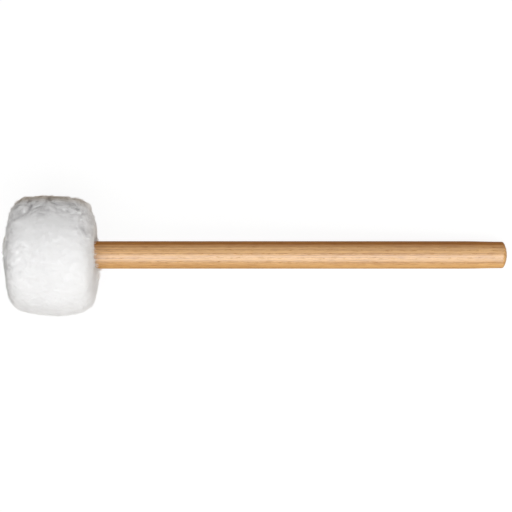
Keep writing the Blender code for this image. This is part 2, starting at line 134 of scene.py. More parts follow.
# %% [markdown]
# ## Light, world and floor
#
# The photograph's light comes from two broad soft lamps, one a little below the camera in the
# picture and one further down, from a weak one above and from an even glow all round. That
# leaves the upper edge of the head and handle in shade. Only the lower two show as gloss on
# the handle, so the upper one is hidden from reflections. We work out a lamp's power so that a
# white card facing it comes out at a chosen level: a small lamp of power P lights a card at
# distance d to P / (pi d)², and a wide one a little less.
#
# The page behind the mallet is white. The floor is white where the camera looks at it, and a
# middling grey for the light that bounces off it, so the underside of the head isn't washed
# out. A share of real diffuse floor stays in the mix and keeps the soft shadow.

# %% Lamps
LAMP_DISTANCE = 1.2
LAMPS = {
    "key": {"level": 0.49, "down": 12.0, "right": 3.0, "size": (2.20, 0.50)},
    "fill": {"level": 0.73, "down": 37.0, "right": 5.0, "size": (2.20, 0.90)},
    "top": {"level": 0.18, "down": -45.0, "right": 24.0, "size": (1.50, 0.90)},
}
WORLD_LEVEL = 0.31


def hang_lamp(name, level, down, right, size):
    """An area lamp facing the mallet's middle from a direction.

    The direction is the camera's, turned down in the picture and then towards the butt."""
    middle = in_place(CAMERA_STATION, 0.0, 0.0)
    down, right = math.radians(down), math.radians(right)
    way = math.cos(down) * lift - math.sin(down) * across
    way = math.cos(right) * way + math.sin(right) * towards_butt
    side = np.cross(across, way) / np.linalg.norm(np.cross(across, way))
    lamp = bpy.data.lights.new(name, "AREA")
    lamp.shape = "RECTANGLE"
    lamp.size, lamp.size_y = size
    lamp.energy = level * (math.pi * LAMP_DISTANCE) ** 2
    turn = Matrix((side, np.cross(way, side), way)).transposed().to_4x4()
    hung = bpy.data.objects.new(name, lamp)
    hung.matrix_world = Matrix.Translation(Vector(middle + LAMP_DISTANCE * way)) @ turn
    hung.visible_glossy = down > 0
    bpy.context.scene.collection.objects.link(hung)
    print(name, "lamp", round(lamp.energy, 2), "W")


for name, settings in LAMPS.items():
    hang_lamp(name, **settings)


# %% Node helpers
def fill(tree, node, inputs):
    """Links each input of a node to another node's output, or gives it a plain value."""
    for socket, value in dict(inputs).items():
        if isinstance(value, bpy.types.NodeSocket):
            tree.links.new(value, node.inputs[socket])
        else:
            node.inputs[socket].default_value = value
    return node


def add(tree, kind, inputs=(), **settings):
    """A shader node of a kind, with its settings and its inputs."""
    made = tree.nodes.new("ShaderNode" + kind)
    for name, value in settings.items():
        setattr(made, name, value)
    return fill(tree, made, inputs)


def maths(tree, operation, *values, **settings):
    """The result of a Math node."""
    return add(tree, "Math", enumerate(values), operation=operation, **settings).outputs[0]


def vectors(tree, operation, *values):
    """The result of a Vector Math node."""
    return add(tree, "VectorMath", enumerate(values), operation=operation).outputs[0]


def colours(tree, share, first, second, way="MIX"):
    """Two colours mixed: none of the second at share 0, and all of it at 1."""
    inputs = {0: share, 6: first, 7: second}
    return add(tree, "Mix", inputs, data_type="RGBA", blend_type=way).outputs[2]


def ramp(tree, value, *stops):
    """A value read off a ramp of (place, level) stops, as a grey."""
    made = add(tree, "ValToRGB", {0: value})
    while len(made.color_ramp.elements) < len(stops):
        made.color_ramp.elements.new(0.5)
    for element, (place, level) in zip(made.color_ramp.elements, stops):
        element.position = place
        element.color = (level, level, level, 1.0)
    return made.outputs[0]


def seen_directly(tree):
    """1 for rays from the camera, from mirrors and through glass, and 0 for the rest."""
    path = add(tree, "LightPath").outputs
    straight = maths(tree, "MAXIMUM", path["Is Camera Ray"], path["Is Transmission Ray"])
    return maths(tree, "MAXIMUM", straight, path["Is Glossy Ray"])


print("node helpers:", ", ".join(made.__name__ for made in (add, maths, vectors, colours, ramp)))

# %% World and floor
FLOOR_TONE = (0.50, 0.46, 0.41)
FLOOR_GLOW = 0.90
FLOOR_SHADE = 0.13
FLOOR_HALF = 6.0

world = bpy.data.worlds.new("pale studio")
world.use_nodes = True
bpy.context.scene.world = world
sky = world.node_tree
sky.nodes.clear()
around = add(sky, "Background", {"Color": (1, 1, 1, 1), "Strength": WORLD_LEVEL})
far_floor = FLOOR_GLOW + FLOOR_SHADE * WORLD_LEVEL
page = add(sky, "Background", {"Color": (1, 1, 1, 1), "Strength": far_floor})
both = add(sky, "MixShader", {0: add(sky, "LightPath").outputs["Is Camera Ray"]})
sky.links.new(around.outputs[0], both.inputs[1])
sky.links.new(page.outputs[0], both.inputs[2])
add(sky, "OutputWorld", {0: both.outputs[0]})


def floor_material():
    """A white page for the camera that keeps a share of its shadow, and a grey floor for light."""
    made = bpy.data.materials.new("pale floor")
    made.use_nodes = True
    tree = made.node_tree
    tree.nodes.clear()
    grey = add(tree, "BsdfDiffuse", {"Color": (*FLOOR_TONE, 1)})
    shaded = add(tree, "BsdfDiffuse", {"Color": (FLOOR_SHADE,) * 3 + (1,)})
    glow = add(tree, "Emission", {"Color": (1, 1, 1, 1), "Strength": FLOOR_GLOW})
    white = add(tree, "AddShader", {0: shaded.outputs[0], 1: glow.outputs[0]})
    seen = add(tree, "MixShader", {0: seen_directly(tree), 1: grey.outputs[0], 2: white.outputs[0]})
    add(tree, "OutputMaterial", {0: seen.outputs[0]})
    return made


floor_mesh = bpy.data.meshes.new("floor")
floor_mesh.from_pydata(
    [(x * FLOOR_HALF, y * FLOOR_HALF, 0.0) for x, y in ((-1, -1), (1, -1), (1, 1), (-1, 1))],
    [],
    [(0, 1, 2, 3)],
)
floor = bpy.data.objects.new("floor", floor_mesh)
floor_mesh.materials.append(floor_material())
bpy.context.scene.collection.objects.link(floor)
print("floor glow", FLOOR_GLOW, "with a diffuse share of", FLOOR_SHADE)

# %% [markdown]
# ## From arrays to meshes
#
# Every new piece here is worked out with numpy as one array of points, and the faces are
# arrays of point numbers. Two kinds are enough: a grid that closes round the axis, and a
# bundle of many small alike shapes. The volume that the faces enclose tells whether they look
# outwards, and if it is negative the corners are read the other way round.


# %% Mesh helpers
def piece(name, points, face_sets, finish, smooth=True):
    """An object of points (n, 3) and arrays of triangles or quads, riding on the mallet."""
    first = np.concatenate([faces[:, :3] for faces in face_sets])
    a, b, c = (points[first[:, i]] for i in range(3))
    quads = [faces[:, [0, 2, 3]] for faces in face_sets if faces.shape[1] == 4]
    volume = (a * np.cross(b, c)).sum()
    for faces in quads:
        a, b, c = (points[faces[:, i]] for i in range(3))
        volume += (a * np.cross(b, c)).sum()
    if volume < 0:
        face_sets = [faces[:, ::-1] for faces in face_sets]
    corners = np.concatenate([faces.ravel() for faces in face_sets])
    sizes = np.concatenate([np.full(len(faces), faces.shape[1]) for faces in face_sets])
    mesh = bpy.data.meshes.new(name)
    mesh.vertices.add(len(points))
    mesh.vertices.foreach_set("co", points.astype(np.float32).ravel())
    mesh.loops.add(len(corners))
    mesh.loops.foreach_set("vertex_index", corners.astype(np.int32))
    mesh.polygons.add(len(sizes))
    starts = np.concatenate([[0], np.cumsum(sizes)[:-1]])
    mesh.polygons.foreach_set("loop_start", starts.astype(np.int32))
    mesh.update(calc_edges=True)
    shade = mesh.shade_smooth if smooth else mesh.shade_flat
    shade()
    mesh.materials.append(finish)
    made = bpy.data.objects.new(name, mesh)
    bpy.context.scene.collection.objects.link(made)
    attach(made, "root")
    triangles = (sizes - 2).sum()
    print(name, "has", triangles, "triangles and", round(abs(volume) / 6e-9), "mm³")
    return made


def grid_faces(rows, columns, joined=False):
    """Quads between neighbouring rows of a grid whose columns go right round the axis.

    With joined, the last row meets the first one too."""
    row = np.arange(rows if joined else rows - 1)[:, None]
    column = np.arange(columns)[None, :]
    below, beside = (row + 1) % rows, (column + 1) % columns
    corners = [row * columns + column, below * columns + column]
    corners += [below * columns + beside, row * columns + beside]
    return np.stack(corners, axis=-1).reshape(-1, 4)


def map_faces(mesh_object, u, v):
    """Writes a UV map from a value of u and of v at each face corner."""
    layer = mesh_object.data.uv_layers.new(name="OFBake")
    layer.uv.foreach_set("vector", np.stack([u, v], axis=-1).astype(np.float32).ravel())


print("a grid of 3 rows round 8 columns has", len(grid_faces(3, 8)), "quads")

# %% [markdown]
# ## Noise in numpy
#
# Fleece is never even, so shapes need a soft randomness that is the same on each run. Noise
# of plain random numbers shows its square lattice, so each corner of a lattice of cubes gets
# a random slope instead. A point takes a smooth blend of what the eight slopes around it give.

# %% Noise helper
LATTICE = 32


def soft_noise(points, size, seed):
    """Noise from about -1 to 1 at points (…, 3), with lumps of about the size.

    Each corner gives its slope times the way from the corner to the point, and the eight
    are blended by 3t² - 2t³ in each direction."""
    slopes = np.random.default_rng(seed).normal(size=(LATTICE,) * 3 + (3,))
    where = points / size
    corner = np.floor(where).astype(int)
    way = where - corner
    share = way * way * (3 - 2 * way)
    total = np.zeros(points.shape[:-1])
    for step in np.ndindex(2, 2, 2):
        index = tuple(np.moveaxis((corner + step) % LATTICE, -1, 0))
        weight = np.abs(1 - np.array(step) - share).prod(axis=-1)
        total += weight * (slopes[index] * (way - step)).sum(axis=-1)
    return total


print("a sample of noise", soft_noise(np.eye(3), 0.7, 1).round(2))

# %% [markdown]
# ## Where a pattern sits
#
# Wood grain runs along the handle, so its pattern needs the mallet's own directions. Object
# coordinates give the place in the frame, and a Mapping node turns them to the mallet and
# counts in millimetres, which keeps all later numbers in plain sizes.


# %% Mallet coordinates in a material
def in_millimetres(tree):
    """Millimetres from the butt: x along the axis, y across and z up from the table."""
    turn = Matrix((towards_butt, across, lift))
    start = -(turn @ Vector(butt)) / MM
    place = {
        "Vector": add(tree, "TexCoord").outputs["Object"],
        "Location": start,
        "Rotation": turn.to_euler(),
        "Scale": (1 / MM,) * 3,
    }
    return add(tree, "Mapping", place).outputs[0]


def new_group(name, inputs, outputs):
    """A shader node group with named sockets: its tree, its inputs and its ending node."""
    tree = bpy.data.node_groups.new(name, "ShaderNodeTree")
    for socket, kind, value in inputs:
        made = tree.interface.new_socket(socket, in_out="INPUT", socket_type="NodeSocket" + kind)
        made.default_value = value
    for socket, kind in outputs:
        tree.interface.new_socket(socket, in_out="OUTPUT", socket_type="NodeSocket" + kind)
    start = tree.nodes.new("NodeGroupInput")
    end = tree.nodes.new("NodeGroupOutput")
    return tree, start.outputs, end


def use_group(tree, group, inputs):
    """The outputs of a group that is placed in a material with its own inputs."""
    return add(tree, "Group", inputs, node_tree=group).outputs


def stretched_noise(tree, where, sizes, detail=2.0, roughness=0.5):
    """Noise whose lumps have a size in millimetres along each direction."""
    scaled = vectors(tree, "DIVIDE", where, sizes)
    inputs = {"Vector": scaled, "Scale": 1.0, "Detail": detail, "Roughness": roughness}
    return add(tree, "TexNoise", inputs).outputs[0]


def bumped(tree, height, strength, depth):
    """The normal of a surface whose relief goes down by a depth in metres."""
    inputs = {"Height": height, "Strength": strength, "Distance": depth}
    return add(tree, "Bump", inputs).outputs[0]


def new_material(name):
    """A material with nodes, its tree and its Principled shader."""
    made = bpy.data.materials.new(name)
    made.use_nodes = True
    return made, made.node_tree, made.node_tree.nodes["Principled BSDF"]


slope = math.degrees(math.asin(along[2]))
print("patterns lie along the axis, which slopes by", round(slope, 1), "degrees")

# %% [markdown]
# ## Wood grain as one group
#
# A board shows its year rings as lines. The handle was split so that the rings run nearly
# square to its front face, and there they show as straight thin lines. So the pattern is a
# real solid one: distance from a pith far out to one side, cut into rings. Each ring starts
# with a band of open pores, seen as short dark dashes, and goes over into denser, lighter
# wood. Slow noise makes the lines wander, and a random number shifts the tint from year to
# year. The rings nearest the pith are heartwood, darker and redder than the sapwood outside.

# %% Wood grain group
HEART_FADE = 5.0
DRIFT_REACH = 4.0
UNEVEN_REACH = 0.8
YEARLY_LEAST, YEARLY_SPREAD = 0.25, 0.7
SHORT_SHARE = 0.38
STREAK_MIDDLE, STREAK_GAIN = 0.45, 5.5
STREAK_RELIEF = 0.25
RING_BAND = ((0.0, 0.8), (0.06, 1.0), (0.22, 0.2), (0.85, 0.0), (1.0, 0.8))
OPEN_PORES = ((0.60, 0.0), (0.68, 1.0))
PORE_BAND = ((0.0, 1.0), (0.30, 0.8), (0.5, 0.12), (0.9, 0.12), (1.0, 1.0))
GRAIN_NOISE = {
    "drift": ((90, 30, 30), 1.0),
    "uneven": ((400, 5, 5), 1.0),
    "long streaks": ((350, 0.5, 0.5), 2.0, 0.6),
    "short streaks": ((9, 0.45, 0.45), 1.0),
    "broad": ((160, 6, 6), 1.0),
    "dashes": ((4.5, 0.24, 0.24), 1.0),
}

grain, given, result = new_group(
    "wood grain",
    [
        ("Vector", "Vector", (0, 0, 0)),
        ("Pith", "Vector", (0, -40, 0)),
        ("Ring Width", "Float", 2.2),
        ("Wander", "Float", 1.0),
        ("Light Wood", "Color", (0.6, 0.4, 0.2, 1)),
        ("Dark Wood", "Color", (0.4, 0.2, 0.1, 1)),
        ("Heart Tint", "Color", (0.8, 0.7, 0.6, 1)),
        ("Heart Edge", "Float", 40.0),
        ("Pore", "Color", (0.2, 0.1, 0.05, 1)),
        ("Pores", "Float", 0.6),
    ],
    [("Color", "Color"), ("Height", "Float"), ("Ring", "Float")],
)


def build_grain(tree, given, result):
    """Ring = distance from the pith over the ring width. Its fraction picks the tone.

    Each noise has its lump size in mm (along, across, up), its detail and its roughness."""
    noise = {
        name: stretched_noise(tree, given["Vector"], *shape) for name, shape in GRAIN_NOISE.items()
    }
    from_pith = vectors(tree, "SUBTRACT", given["Vector"], given["Pith"])
    radial = vectors(tree, "MULTIPLY", from_pith, (0, 1, 1))
    length = add(tree, "VectorMath", {0: radial}, operation="LENGTH").outputs["Value"]
    drift = maths(tree, "SUBTRACT", noise["drift"], 0.5)
    drift = maths(tree, "MULTIPLY", drift, given["Wander"])
    wide = maths(tree, "MULTIPLY_ADD", drift, DRIFT_REACH, length)
    uneven = maths(tree, "SUBTRACT", noise["uneven"], 0.5)
    wide = maths(tree, "MULTIPLY_ADD", uneven, UNEVEN_REACH, wide)
    rings = maths(tree, "DIVIDE", wide, given["Ring Width"])
    ring = maths(tree, "FRACT", rings)
    year = maths(tree, "FLOOR", rings)

    band = ramp(tree, ring, *RING_BAND)
    yearly = add(tree, "TexWhiteNoise", {"W": year}, noise_dimensions="1D").outputs[0]
    yearly = maths(tree, "MULTIPLY_ADD", yearly, YEARLY_SPREAD, YEARLY_LEAST)
    streaks = colours(tree, SHORT_SHARE, noise["long streaks"], noise["short streaks"])
    streak = maths(tree, "SUBTRACT", streaks, STREAK_MIDDLE)
    tone = maths(tree, "MULTIPLY", band, yearly)
    tone = maths(tree, "MULTIPLY_ADD", streak, STREAK_GAIN, tone)
    shift = maths(tree, "SUBTRACT", noise["broad"], 0.5)
    tone = maths(tree, "ADD", tone, shift, use_clamp=True)
    wood = colours(tree, tone, given["Light Wood"], given["Dark Wood"])

    inside = maths(tree, "SUBTRACT", given["Heart Edge"], wide)
    inside = maths(tree, "DIVIDE", inside, HEART_FADE)
    heart = maths(tree, "ADD", inside, 0.5, use_clamp=True)
    heartwood = colours(tree, 1.0, wood, given["Heart Tint"], "MULTIPLY")
    wood = colours(tree, heart, wood, heartwood)

    open_pore = ramp(tree, noise["dashes"], *OPEN_PORES)
    in_band = ramp(tree, ring, *PORE_BAND)
    pore = maths(tree, "MULTIPLY", open_pore, in_band)
    pore = maths(tree, "MULTIPLY", pore, given["Pores"])
    relief = maths(tree, "MULTIPLY", streaks, STREAK_RELIEF)
    outputs = {
        "Color": colours(tree, pore, wood, given["Pore"]),
        "Height": maths(tree, "MULTIPLY_ADD", pore, -1.0, relief),
        "Ring": band,
    }
    fill(tree, result, outputs)


build_grain(grain, given, result)
print("the grain group has", len(grain.nodes), "nodes")

# %% [markdown]
# ## Lacquered hickory
#
# Hickory is a pale tan wood. The lacquer on it is thin: the broad lamps show as a soft band
# and not as a mirror, and the edges don't shine. The Principled shader's coat does that,
# weaker over the pores and where the surface turns away, over wood whose own roughness follows
# the rings. Maple, for the core inside, is made by the same function with other values.

# %% Wood materials
WOOD_RELIEF = 0.1 * MM


def wood_material(name, grain_inputs, rough, band_rough, bump):
    """A wood off the grain group, rougher by a share where the band of pores is."""
    made, tree, shader = new_material(name)
    wood = use_group(tree, grain, {"Vector": in_millimetres(tree), **grain_inputs})
    finish = {
        "Base Color": wood["Color"],
        "Roughness": maths(tree, "MULTIPLY_ADD", wood["Ring"], band_rough, rough),
        "Normal": bumped(tree, wood["Height"], bump, WOOD_RELIEF),
    }
    fill(tree, shader, finish)
    return made, tree, shader, wood


# %% Hickory
LACQUER_SHOWS = ((0.0, 1.0), (0.12, 1.0), (0.42, 0.0))
LACQUER_FILLS, LACQUER_LEAST = 3.0, 0.55
LACQUER_ROUGHNESS, LACQUER_IOR = 0.38, 2.2

hickory, tree, shader, wood = wood_material(
    "lacquered hickory",
    {
        # The pith lies out on the upper side, so darker, redder heartwood runs along the top of the
        # handle: partly real heartwood and partly painted shade on that side.
        "Pith": (0, 46.3, -9),
        "Ring Width": 2.9,
        "Wander": 0.25,
        "Light Wood": (0.765, 0.446, 0.176, 1),
        "Dark Wood": (0.49, 0.24, 0.082, 1),
        "Heart Tint": (0.62, 0.45, 0.25, 1),
        "Heart Edge": 43.1,
        "Pore": (0.33, 0.15, 0.05, 1),
        "Pores": 0.8,
    },
    rough=0.46,
    band_rough=0.10,
    bump=0.35,
)
facing = add(tree, "LayerWeight", {"Blend": 0.5}).outputs["Facing"]
shows = ramp(tree, facing, *LACQUER_SHOWS)
filled = maths(
    tree, "MULTIPLY_ADD", wood["Height"], LACQUER_FILLS, LACQUER_LEAST, use_clamp=True
)
coat = {
    "Coat Weight": maths(tree, "MULTIPLY", shows, filled),
    "Coat Roughness": LACQUER_ROUGHNESS,
    "Coat IOR": LACQUER_IOR,
    "Specular IOR Level": 0.05,
}
fill(tree, shader, coat)
print("hickory has a coat of roughness", LACQUER_ROUGHNESS)

# %% [markdown]
# ## The handle
#
# A handle comes off a lathe, so its shape is one profile turned round the axis. The profile is
# a list of short stretches: the domed butt and its rounded corner as arcs, a slight taper, the
# long straight shaft, and the shoulder and tenon that the core sits on, with the screw's hole.

# %% Handle profile
HANDLE_RADIUS = 11.1 * MM
SHAFT_LENGTH = 345.4 * MM
TENON_RADIUS = 9.5 * MM
EDGE_CHAMFER = 0.8 * MM
BUTT_TAPER = 0.45 * MM
BUTT_TAPER_LENGTH = 36.0 * MM
BUTT_CORNER = 2.2 * MM
BUTT_DOME = 20.0 * MM
BUTT_FLAT = 3.0 * MM
HOLE_RADIUS = 2.7 * MM
HOLE_LENGTH = 32.0 * MM
DOME_STEPS, CORNER_STEPS, TAPER_STEPS, SHAFT_STEPS = 14, 12, 12, 40


def arc(centre, radius, start, end, count):
    """Points (radius, station) on an arc about a centre, from one angle to another."""
    angle = np.linspace(start, end, count)
    return np.stack([centre[0] + radius * np.cos(angle), centre[1] + radius * np.sin(angle)], 1)


def handle_profile():
    """(radius, station) from the middle of the butt, over the shaft and tenon, down the hole."""
    dome_centre = math.sqrt(BUTT_DOME**2 - BUTT_FLAT**2)
    corner_out = HANDLE_RADIUS - BUTT_TAPER - BUTT_CORNER
    corner_drop = math.sqrt((BUTT_DOME - BUTT_CORNER) ** 2 - corner_out**2)
    corner_angle = -math.atan2(corner_drop, corner_out)
    flat_angle = -math.acos(BUTT_FLAT / BUTT_DOME)
    dome = arc((0.0, dome_centre), BUTT_DOME, flat_angle, corner_angle, DOME_STEPS)
    corner_centre = (corner_out, dome_centre - corner_drop)
    corner = arc(corner_centre, BUTT_CORNER, corner_angle, 0.0, CORNER_STEPS)
    taper_start = corner[-1, 1]
    share = np.linspace(0, 1, TAPER_STEPS)[1:]
    radius = HANDLE_RADIUS - BUTT_TAPER * (1 - share * share * (3 - 2 * share))
    taper = np.stack([radius, taper_start + (BUTT_TAPER_LENGTH - taper_start) * share], 1)
    station = np.linspace(BUTT_TAPER_LENGTH, SHAFT_LENGTH - EDGE_CHAMFER, SHAFT_STEPS)[1:]
    shaft = np.stack([np.full_like(station, HANDLE_RADIUS), station], 1)
    top = handle_size[1]
    end = [
        (HANDLE_RADIUS - EDGE_CHAMFER, SHAFT_LENGTH),
        (TENON_RADIUS, SHAFT_LENGTH),
        (TENON_RADIUS, top - EDGE_CHAMFER),
        (TENON_RADIUS - EDGE_CHAMFER, top),
        (HOLE_RADIUS, top),
        (HOLE_RADIUS, top - HOLE_LENGTH + HOLE_RADIUS / 2),
        (0.0, top - HOLE_LENGTH),
    ]
    return np.concatenate([[(0.0, 0.0)], dome, corner[1:], taper, shaft, end])


profile = handle_profile()
print("the handle's profile has", len(profile), "points")

# %% Handle
HANDLE_SIDES = 144
SHARP_ANGLE = math.radians(40)


def turned(name, profile, sides, finish):
    """A profile turned round the axis. A profile point (r, s) goes to r cos a across, r sin a up
    and s along, for each angle a. The first and last point lie on the axis and close the ends."""
    angle = np.linspace(0, 2 * math.pi, sides, endpoint=False)
    radius, station = profile[1:-1, :1], profile[1:-1, 1:]
    points = in_place(station + 0 * angle, radius * np.cos(angle), radius * np.sin(angle))
    rows = len(radius)
    ends = in_place(profile[[0, -1], 1], np.zeros(2), np.zeros(2))
    points = np.concatenate([points.reshape(-1, 3), ends])
    ring = np.arange(sides)
    after = (ring + 1) % sides
    first, last = rows * sides, rows * sides + 1
    start_fan = np.stack([np.full(sides, first), ring, after], 1)
    end_fan = np.stack([np.full(sides, last), after, ring], 1)
    end_fan[:, 1:] += (rows - 1) * sides
    made = piece(name, points, [grid_faces(rows, sides), start_fan, end_fan], finish)
    made.data.set_sharp_from_angle(angle=SHARP_ANGLE)
    return made


handle = turned("turned_handle", profile, HANDLE_SIDES, hickory)
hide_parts("handle")
print("the handle's top is at station", round(handle_size[1] / MM, 1), "mm")

# %% [markdown]
# ## The outline of the head
#
# The head is a fat barrel, but a soft one: its corners are squarer in one place and rounder in
# another. From the side it is a closed curve, so we give the distance from its centre to the
# tips of the pile every 10 degrees, from the front end round to the neck. One list is for the
# side at the top of the picture and one for the bottom, both in millimetres. A smooth curve
# runs through each, and round the axis we pass from one to the other.

# %% Head outline
HEAD_CENTRE = (cover_size[0] + cover_size[1]) / 2
HEAD_RADIUS = cover_size[2]
PUCKER_RADIUS = 2.5 * MM
NECK_RADIUS = HANDLE_RADIUS + 0.3 * MM
OUTLINE_STEP = math.radians(10)
UPPER_OUTLINE = (
    (42.5, 41.1, 41.1, 39.7, 43.5, 48.4, 51.5, 50.1, 47.9)
    + (48.0, 47.7, 49.2, 50.9, 49.3, 45.2, 43.1, 39.4, 37.1, 36.4)
)
LOWER_OUTLINE = (
    (42.5, 41.5, 39.5, 41.6, 44.7, 50.1, 51.8, 50.1, 49.0)
    + (49.2, 50.5, 51.3, 53.0, 52.4, 47.5, 44.5, 42.8, 38.3, 36.4)
)
FIRST_DIRECTION = math.atan2(PUCKER_RADIUS, UPPER_OUTLINE[0] * MM)
LAST_DIRECTION = math.pi - math.atan2(NECK_RADIUS, UPPER_OUTLINE[-1] * MM)


def smooth_curve(values, place):
    """A curve through evenly spaced values, read at places counted in steps.

    Between two values it is the cubic whose slopes there are half the difference of their
    neighbours. Past the ends the values are mirrored, so the curve arrives level."""
    padded = np.array([values[1], *values, values[-2], values[-3]]) * MM
    index = np.clip(np.floor(place).astype(int), 0, len(values) - 1)
    share = place - index
    before, here, after, beyond = (padded[index + i] for i in range(4))
    slope, next_slope = (after - before) / 2, (beyond - here) / 2
    cubic = 2 * here - 2 * after + slope + next_slope
    square = 3 * after - 3 * here - 2 * slope - next_slope
    return ((cubic * share + square) * share + slope) * share + here


def outline_point(polar, turn):
    """(forward, outward) of the tips' outline, seen from the head's centre.

    The distance in the direction polar is a blend of both outlines by (1 + cos turn) / 2."""
    share = (1 + np.cos(turn)) / 2
    place = polar / OUTLINE_STEP
    reach = share * smooth_curve(UPPER_OUTLINE, place)
    reach = reach + (1 - share) * smooth_curve(LOWER_OUTLINE, place)
    return reach * np.cos(polar), reach * np.sin(polar)


def outline_place(polar, turn):
    """(forward, across, up) of the tips' outline, seen from the head's centre."""
    forward, outward = outline_point(polar, turn)
    return np.stack([forward, outward * np.cos(turn), outward * np.sin(turn)], axis=-1)


print("the head's centre is at station", round(HEAD_CENTRE / MM, 1), "mm")

# %% [markdown]
# ## Where the pile is tousled
#
# A mallet brushes the gong with one side, at the top of the picture. There the pile is worn
# into messy locks, and elsewhere it still lies smooth. So every place on the head gets a share
# from 0 to 1, made of smooth steps, and the shape and the painted crease shade read it.

# %% Smooth and tousled sides
HEAD_HALF = (cover_size[1] - cover_size[0]) / 2 + 1.5 * MM
LEAST_TOUSLED, FAR_TOUSLED, END_TOUSLED = 0.08, 0.5, 0.34
STRIKING_ACROSS, STRIKING_OUTWARD, STRIKING_ARCH = (-5, 15), (14, 34), (27, 42)
FAR_STEPS, END_STEPS = (-5, 25), (20, 38)


def rising(steps, start, end):
    """0 up to the start, 1 from the end on, and 3t² - 2t³ between them, in millimetres."""
    share = np.clip((steps / MM - start) / (end - start), 0, 1)
    return share * share * (3 - 2 * share)


def near_outline(places):
    """A size from the middle of the side view, 0, to its outline, where it's the head's radius.

    It is that of a squared ellipse: the fourth root of (forward · stretch)⁴ + across⁴."""
    stretched = places[..., 0] * HEAD_RADIUS / HEAD_HALF
    return (stretched**4 + places[..., 1] ** 4) ** 0.25


def striking(places):
    """From 0 to 1 towards the striking side, which is an arch at the top of the picture.

    On both ends of the head it fades towards the axis, because a mallet strikes on its side."""
    outward = np.hypot(places[..., 1], places[..., 2])
    on_side = rising(places[..., 1], *STRIKING_ACROSS) * rising(outward, *STRIKING_OUTWARD)
    return rising(near_outline(places), *STRIKING_ARCH) * on_side


def tousled(places):
    """From a little where the pile is brushed smooth to 1 on the striking side.

    It also grows to over half towards the far side, and to over a third towards both ends."""
    far = rising(-places[..., 2], *FAR_STEPS)
    ends = rising(np.abs(places[..., 0]), *END_STEPS)
    most = np.maximum(FAR_TOUSLED * far, END_TOUSLED * ends)
    return LEAST_TOUSLED + (1 - LEAST_TOUSLED) * np.maximum(striking(places), most)


top_and_middle = np.array(((0.0, HEAD_RADIUS, 0.0), (0.0, 0.0, HEAD_RADIUS)))
print("tousled at the top and in the middle of the picture:", tousled(top_and_middle).round(2))

# %% [markdown]
# ## Strands, lumps and folds
#
# The pile clings together in strands that run along the head and bend a little, with creases
# between them. Under it the padding makes soft lumps. Two drawstrings gather the cover, and
# small folds run out from both of its holes. All of it is one height over the outline, added
# up from noise and waves, so it can be read at any place and the fibres can follow it.

# %% Strands
STRAND_SIZES = np.array((9.0, 3.4, 3.4)) * MM
LOCK_SIZES = STRAND_SIZES * 0.8
LOCK_CONTRAST = 0.9
FINE_STRANDS = 0.35
FULL_SWELL = 0.6
STRAND_BEND = 4.5 * MM
BEND_LUMP = 11 * MM
STRAND_FAN = 55.0 * MM


def strand_bend(places):
    """How far the strands are moved at a place, as a step (…, 3).

    Slow noise moves them every way. On the upper side they also fan out: they are moved up by
    the square of the way from the middle of the head, over a length."""
    steps = [STRAND_BEND * soft_noise(places, BEND_LUMP, seed) for seed in (31, 32, 33)]
    upper = np.clip(places[..., 1] / STRAND_FAN, 0, 1)
    steps[1] = steps[1] + upper * places[..., 0] ** 2 / STRAND_FAN
    return np.stack(steps, axis=-1)


def swell(places):
    """0 in the crease between two strands, and 1 on the back of a strand.

    A crease is where noise stretched along the mallet is zero, so the first share is the noise
    without its sign, cut off at the top. A second noise of locks in between fills the rest."""
    bent = places + strand_bend(places)
    noise = soft_noise(bent, STRAND_SIZES, 34)
    noise = noise + FINE_STRANDS * soft_noise(bent, STRAND_SIZES / 2, 35)
    ridges = np.minimum(np.abs(noise) / FULL_SWELL, 1)
    locks = np.clip(0.5 + LOCK_CONTRAST * soft_noise(bent, LOCK_SIZES, 36), 0, 1)
    return (ridges + locks) / 2


print("swell at the top and in the middle of the picture:", swell(top_and_middle).round(2))

# %% Relief of the head
CLUMP_SIZES = ((17.0 * MM, 0.55 * MM), (7.5 * MM, 0.30 * MM))
STRAND_HEIGHT = 3.3 * MM
MEAN_SWELL = 0.55
FOLDS = 15
PUCKER_FOLD_DEPTH = 3.0 * MM
NECK_FOLD_DEPTH = 1.5 * MM
FOLD_REACH = 22.0 * MM
FOLD_WANDER, FOLD_LUMP = 0.8, 9 * MM


def dip(outward, start, width):
    """1 at the rim of a gathered hole, falling smoothly to 0 at a width from it."""
    share = np.clip((outward - start) / width, 0, 1)
    return 1 - share * share * (3 - 2 * share)


def folds(places):
    """Depth of the folds round the drawstrings, deeper round the pucker than at the neck.

    It is 1 - |sin| of the turn, bent by noise, with a share of the depth that fades outwards."""
    outward = np.hypot(places[..., 1], places[..., 2])
    turn = np.arctan2(places[..., 2], places[..., 1])
    wander = FOLD_WANDER * soft_noise(places, FOLD_LUMP, 41)
    crease = 1 - np.abs(np.sin(FOLDS * turn / 2 + wander))
    front = places[..., 0] > 0
    fades = dip(outward, np.where(front, PUCKER_RADIUS, NECK_RADIUS), FOLD_REACH)
    return crease**2 * fades * np.where(front, PUCKER_FOLD_DEPTH, NECK_FOLD_DEPTH)


def relief(places):
    """Lumps of two sizes, strands and folds, added up as a height over the outline."""
    lumps = sum(h * soft_noise(places, size, i) for i, (size, h) in enumerate(CLUMP_SIZES))
    strands = STRAND_HEIGHT * tousled(places) * (swell(places) - MEAN_SWELL)
    return lumps + strands - folds(places)


heights = relief(top_and_middle) / MM
print("relief at the top and in the middle of the picture:", heights.round(2), "mm")

# %% [markdown]
# ## From outline to surface
#
# Backing and fibres lie at different depths under the same tips. So one function gives the
# point at any direction, turn and height, and both use it. It also pulls the cover in at the
# two drawstrings and presses the head flat where it lies on the table.

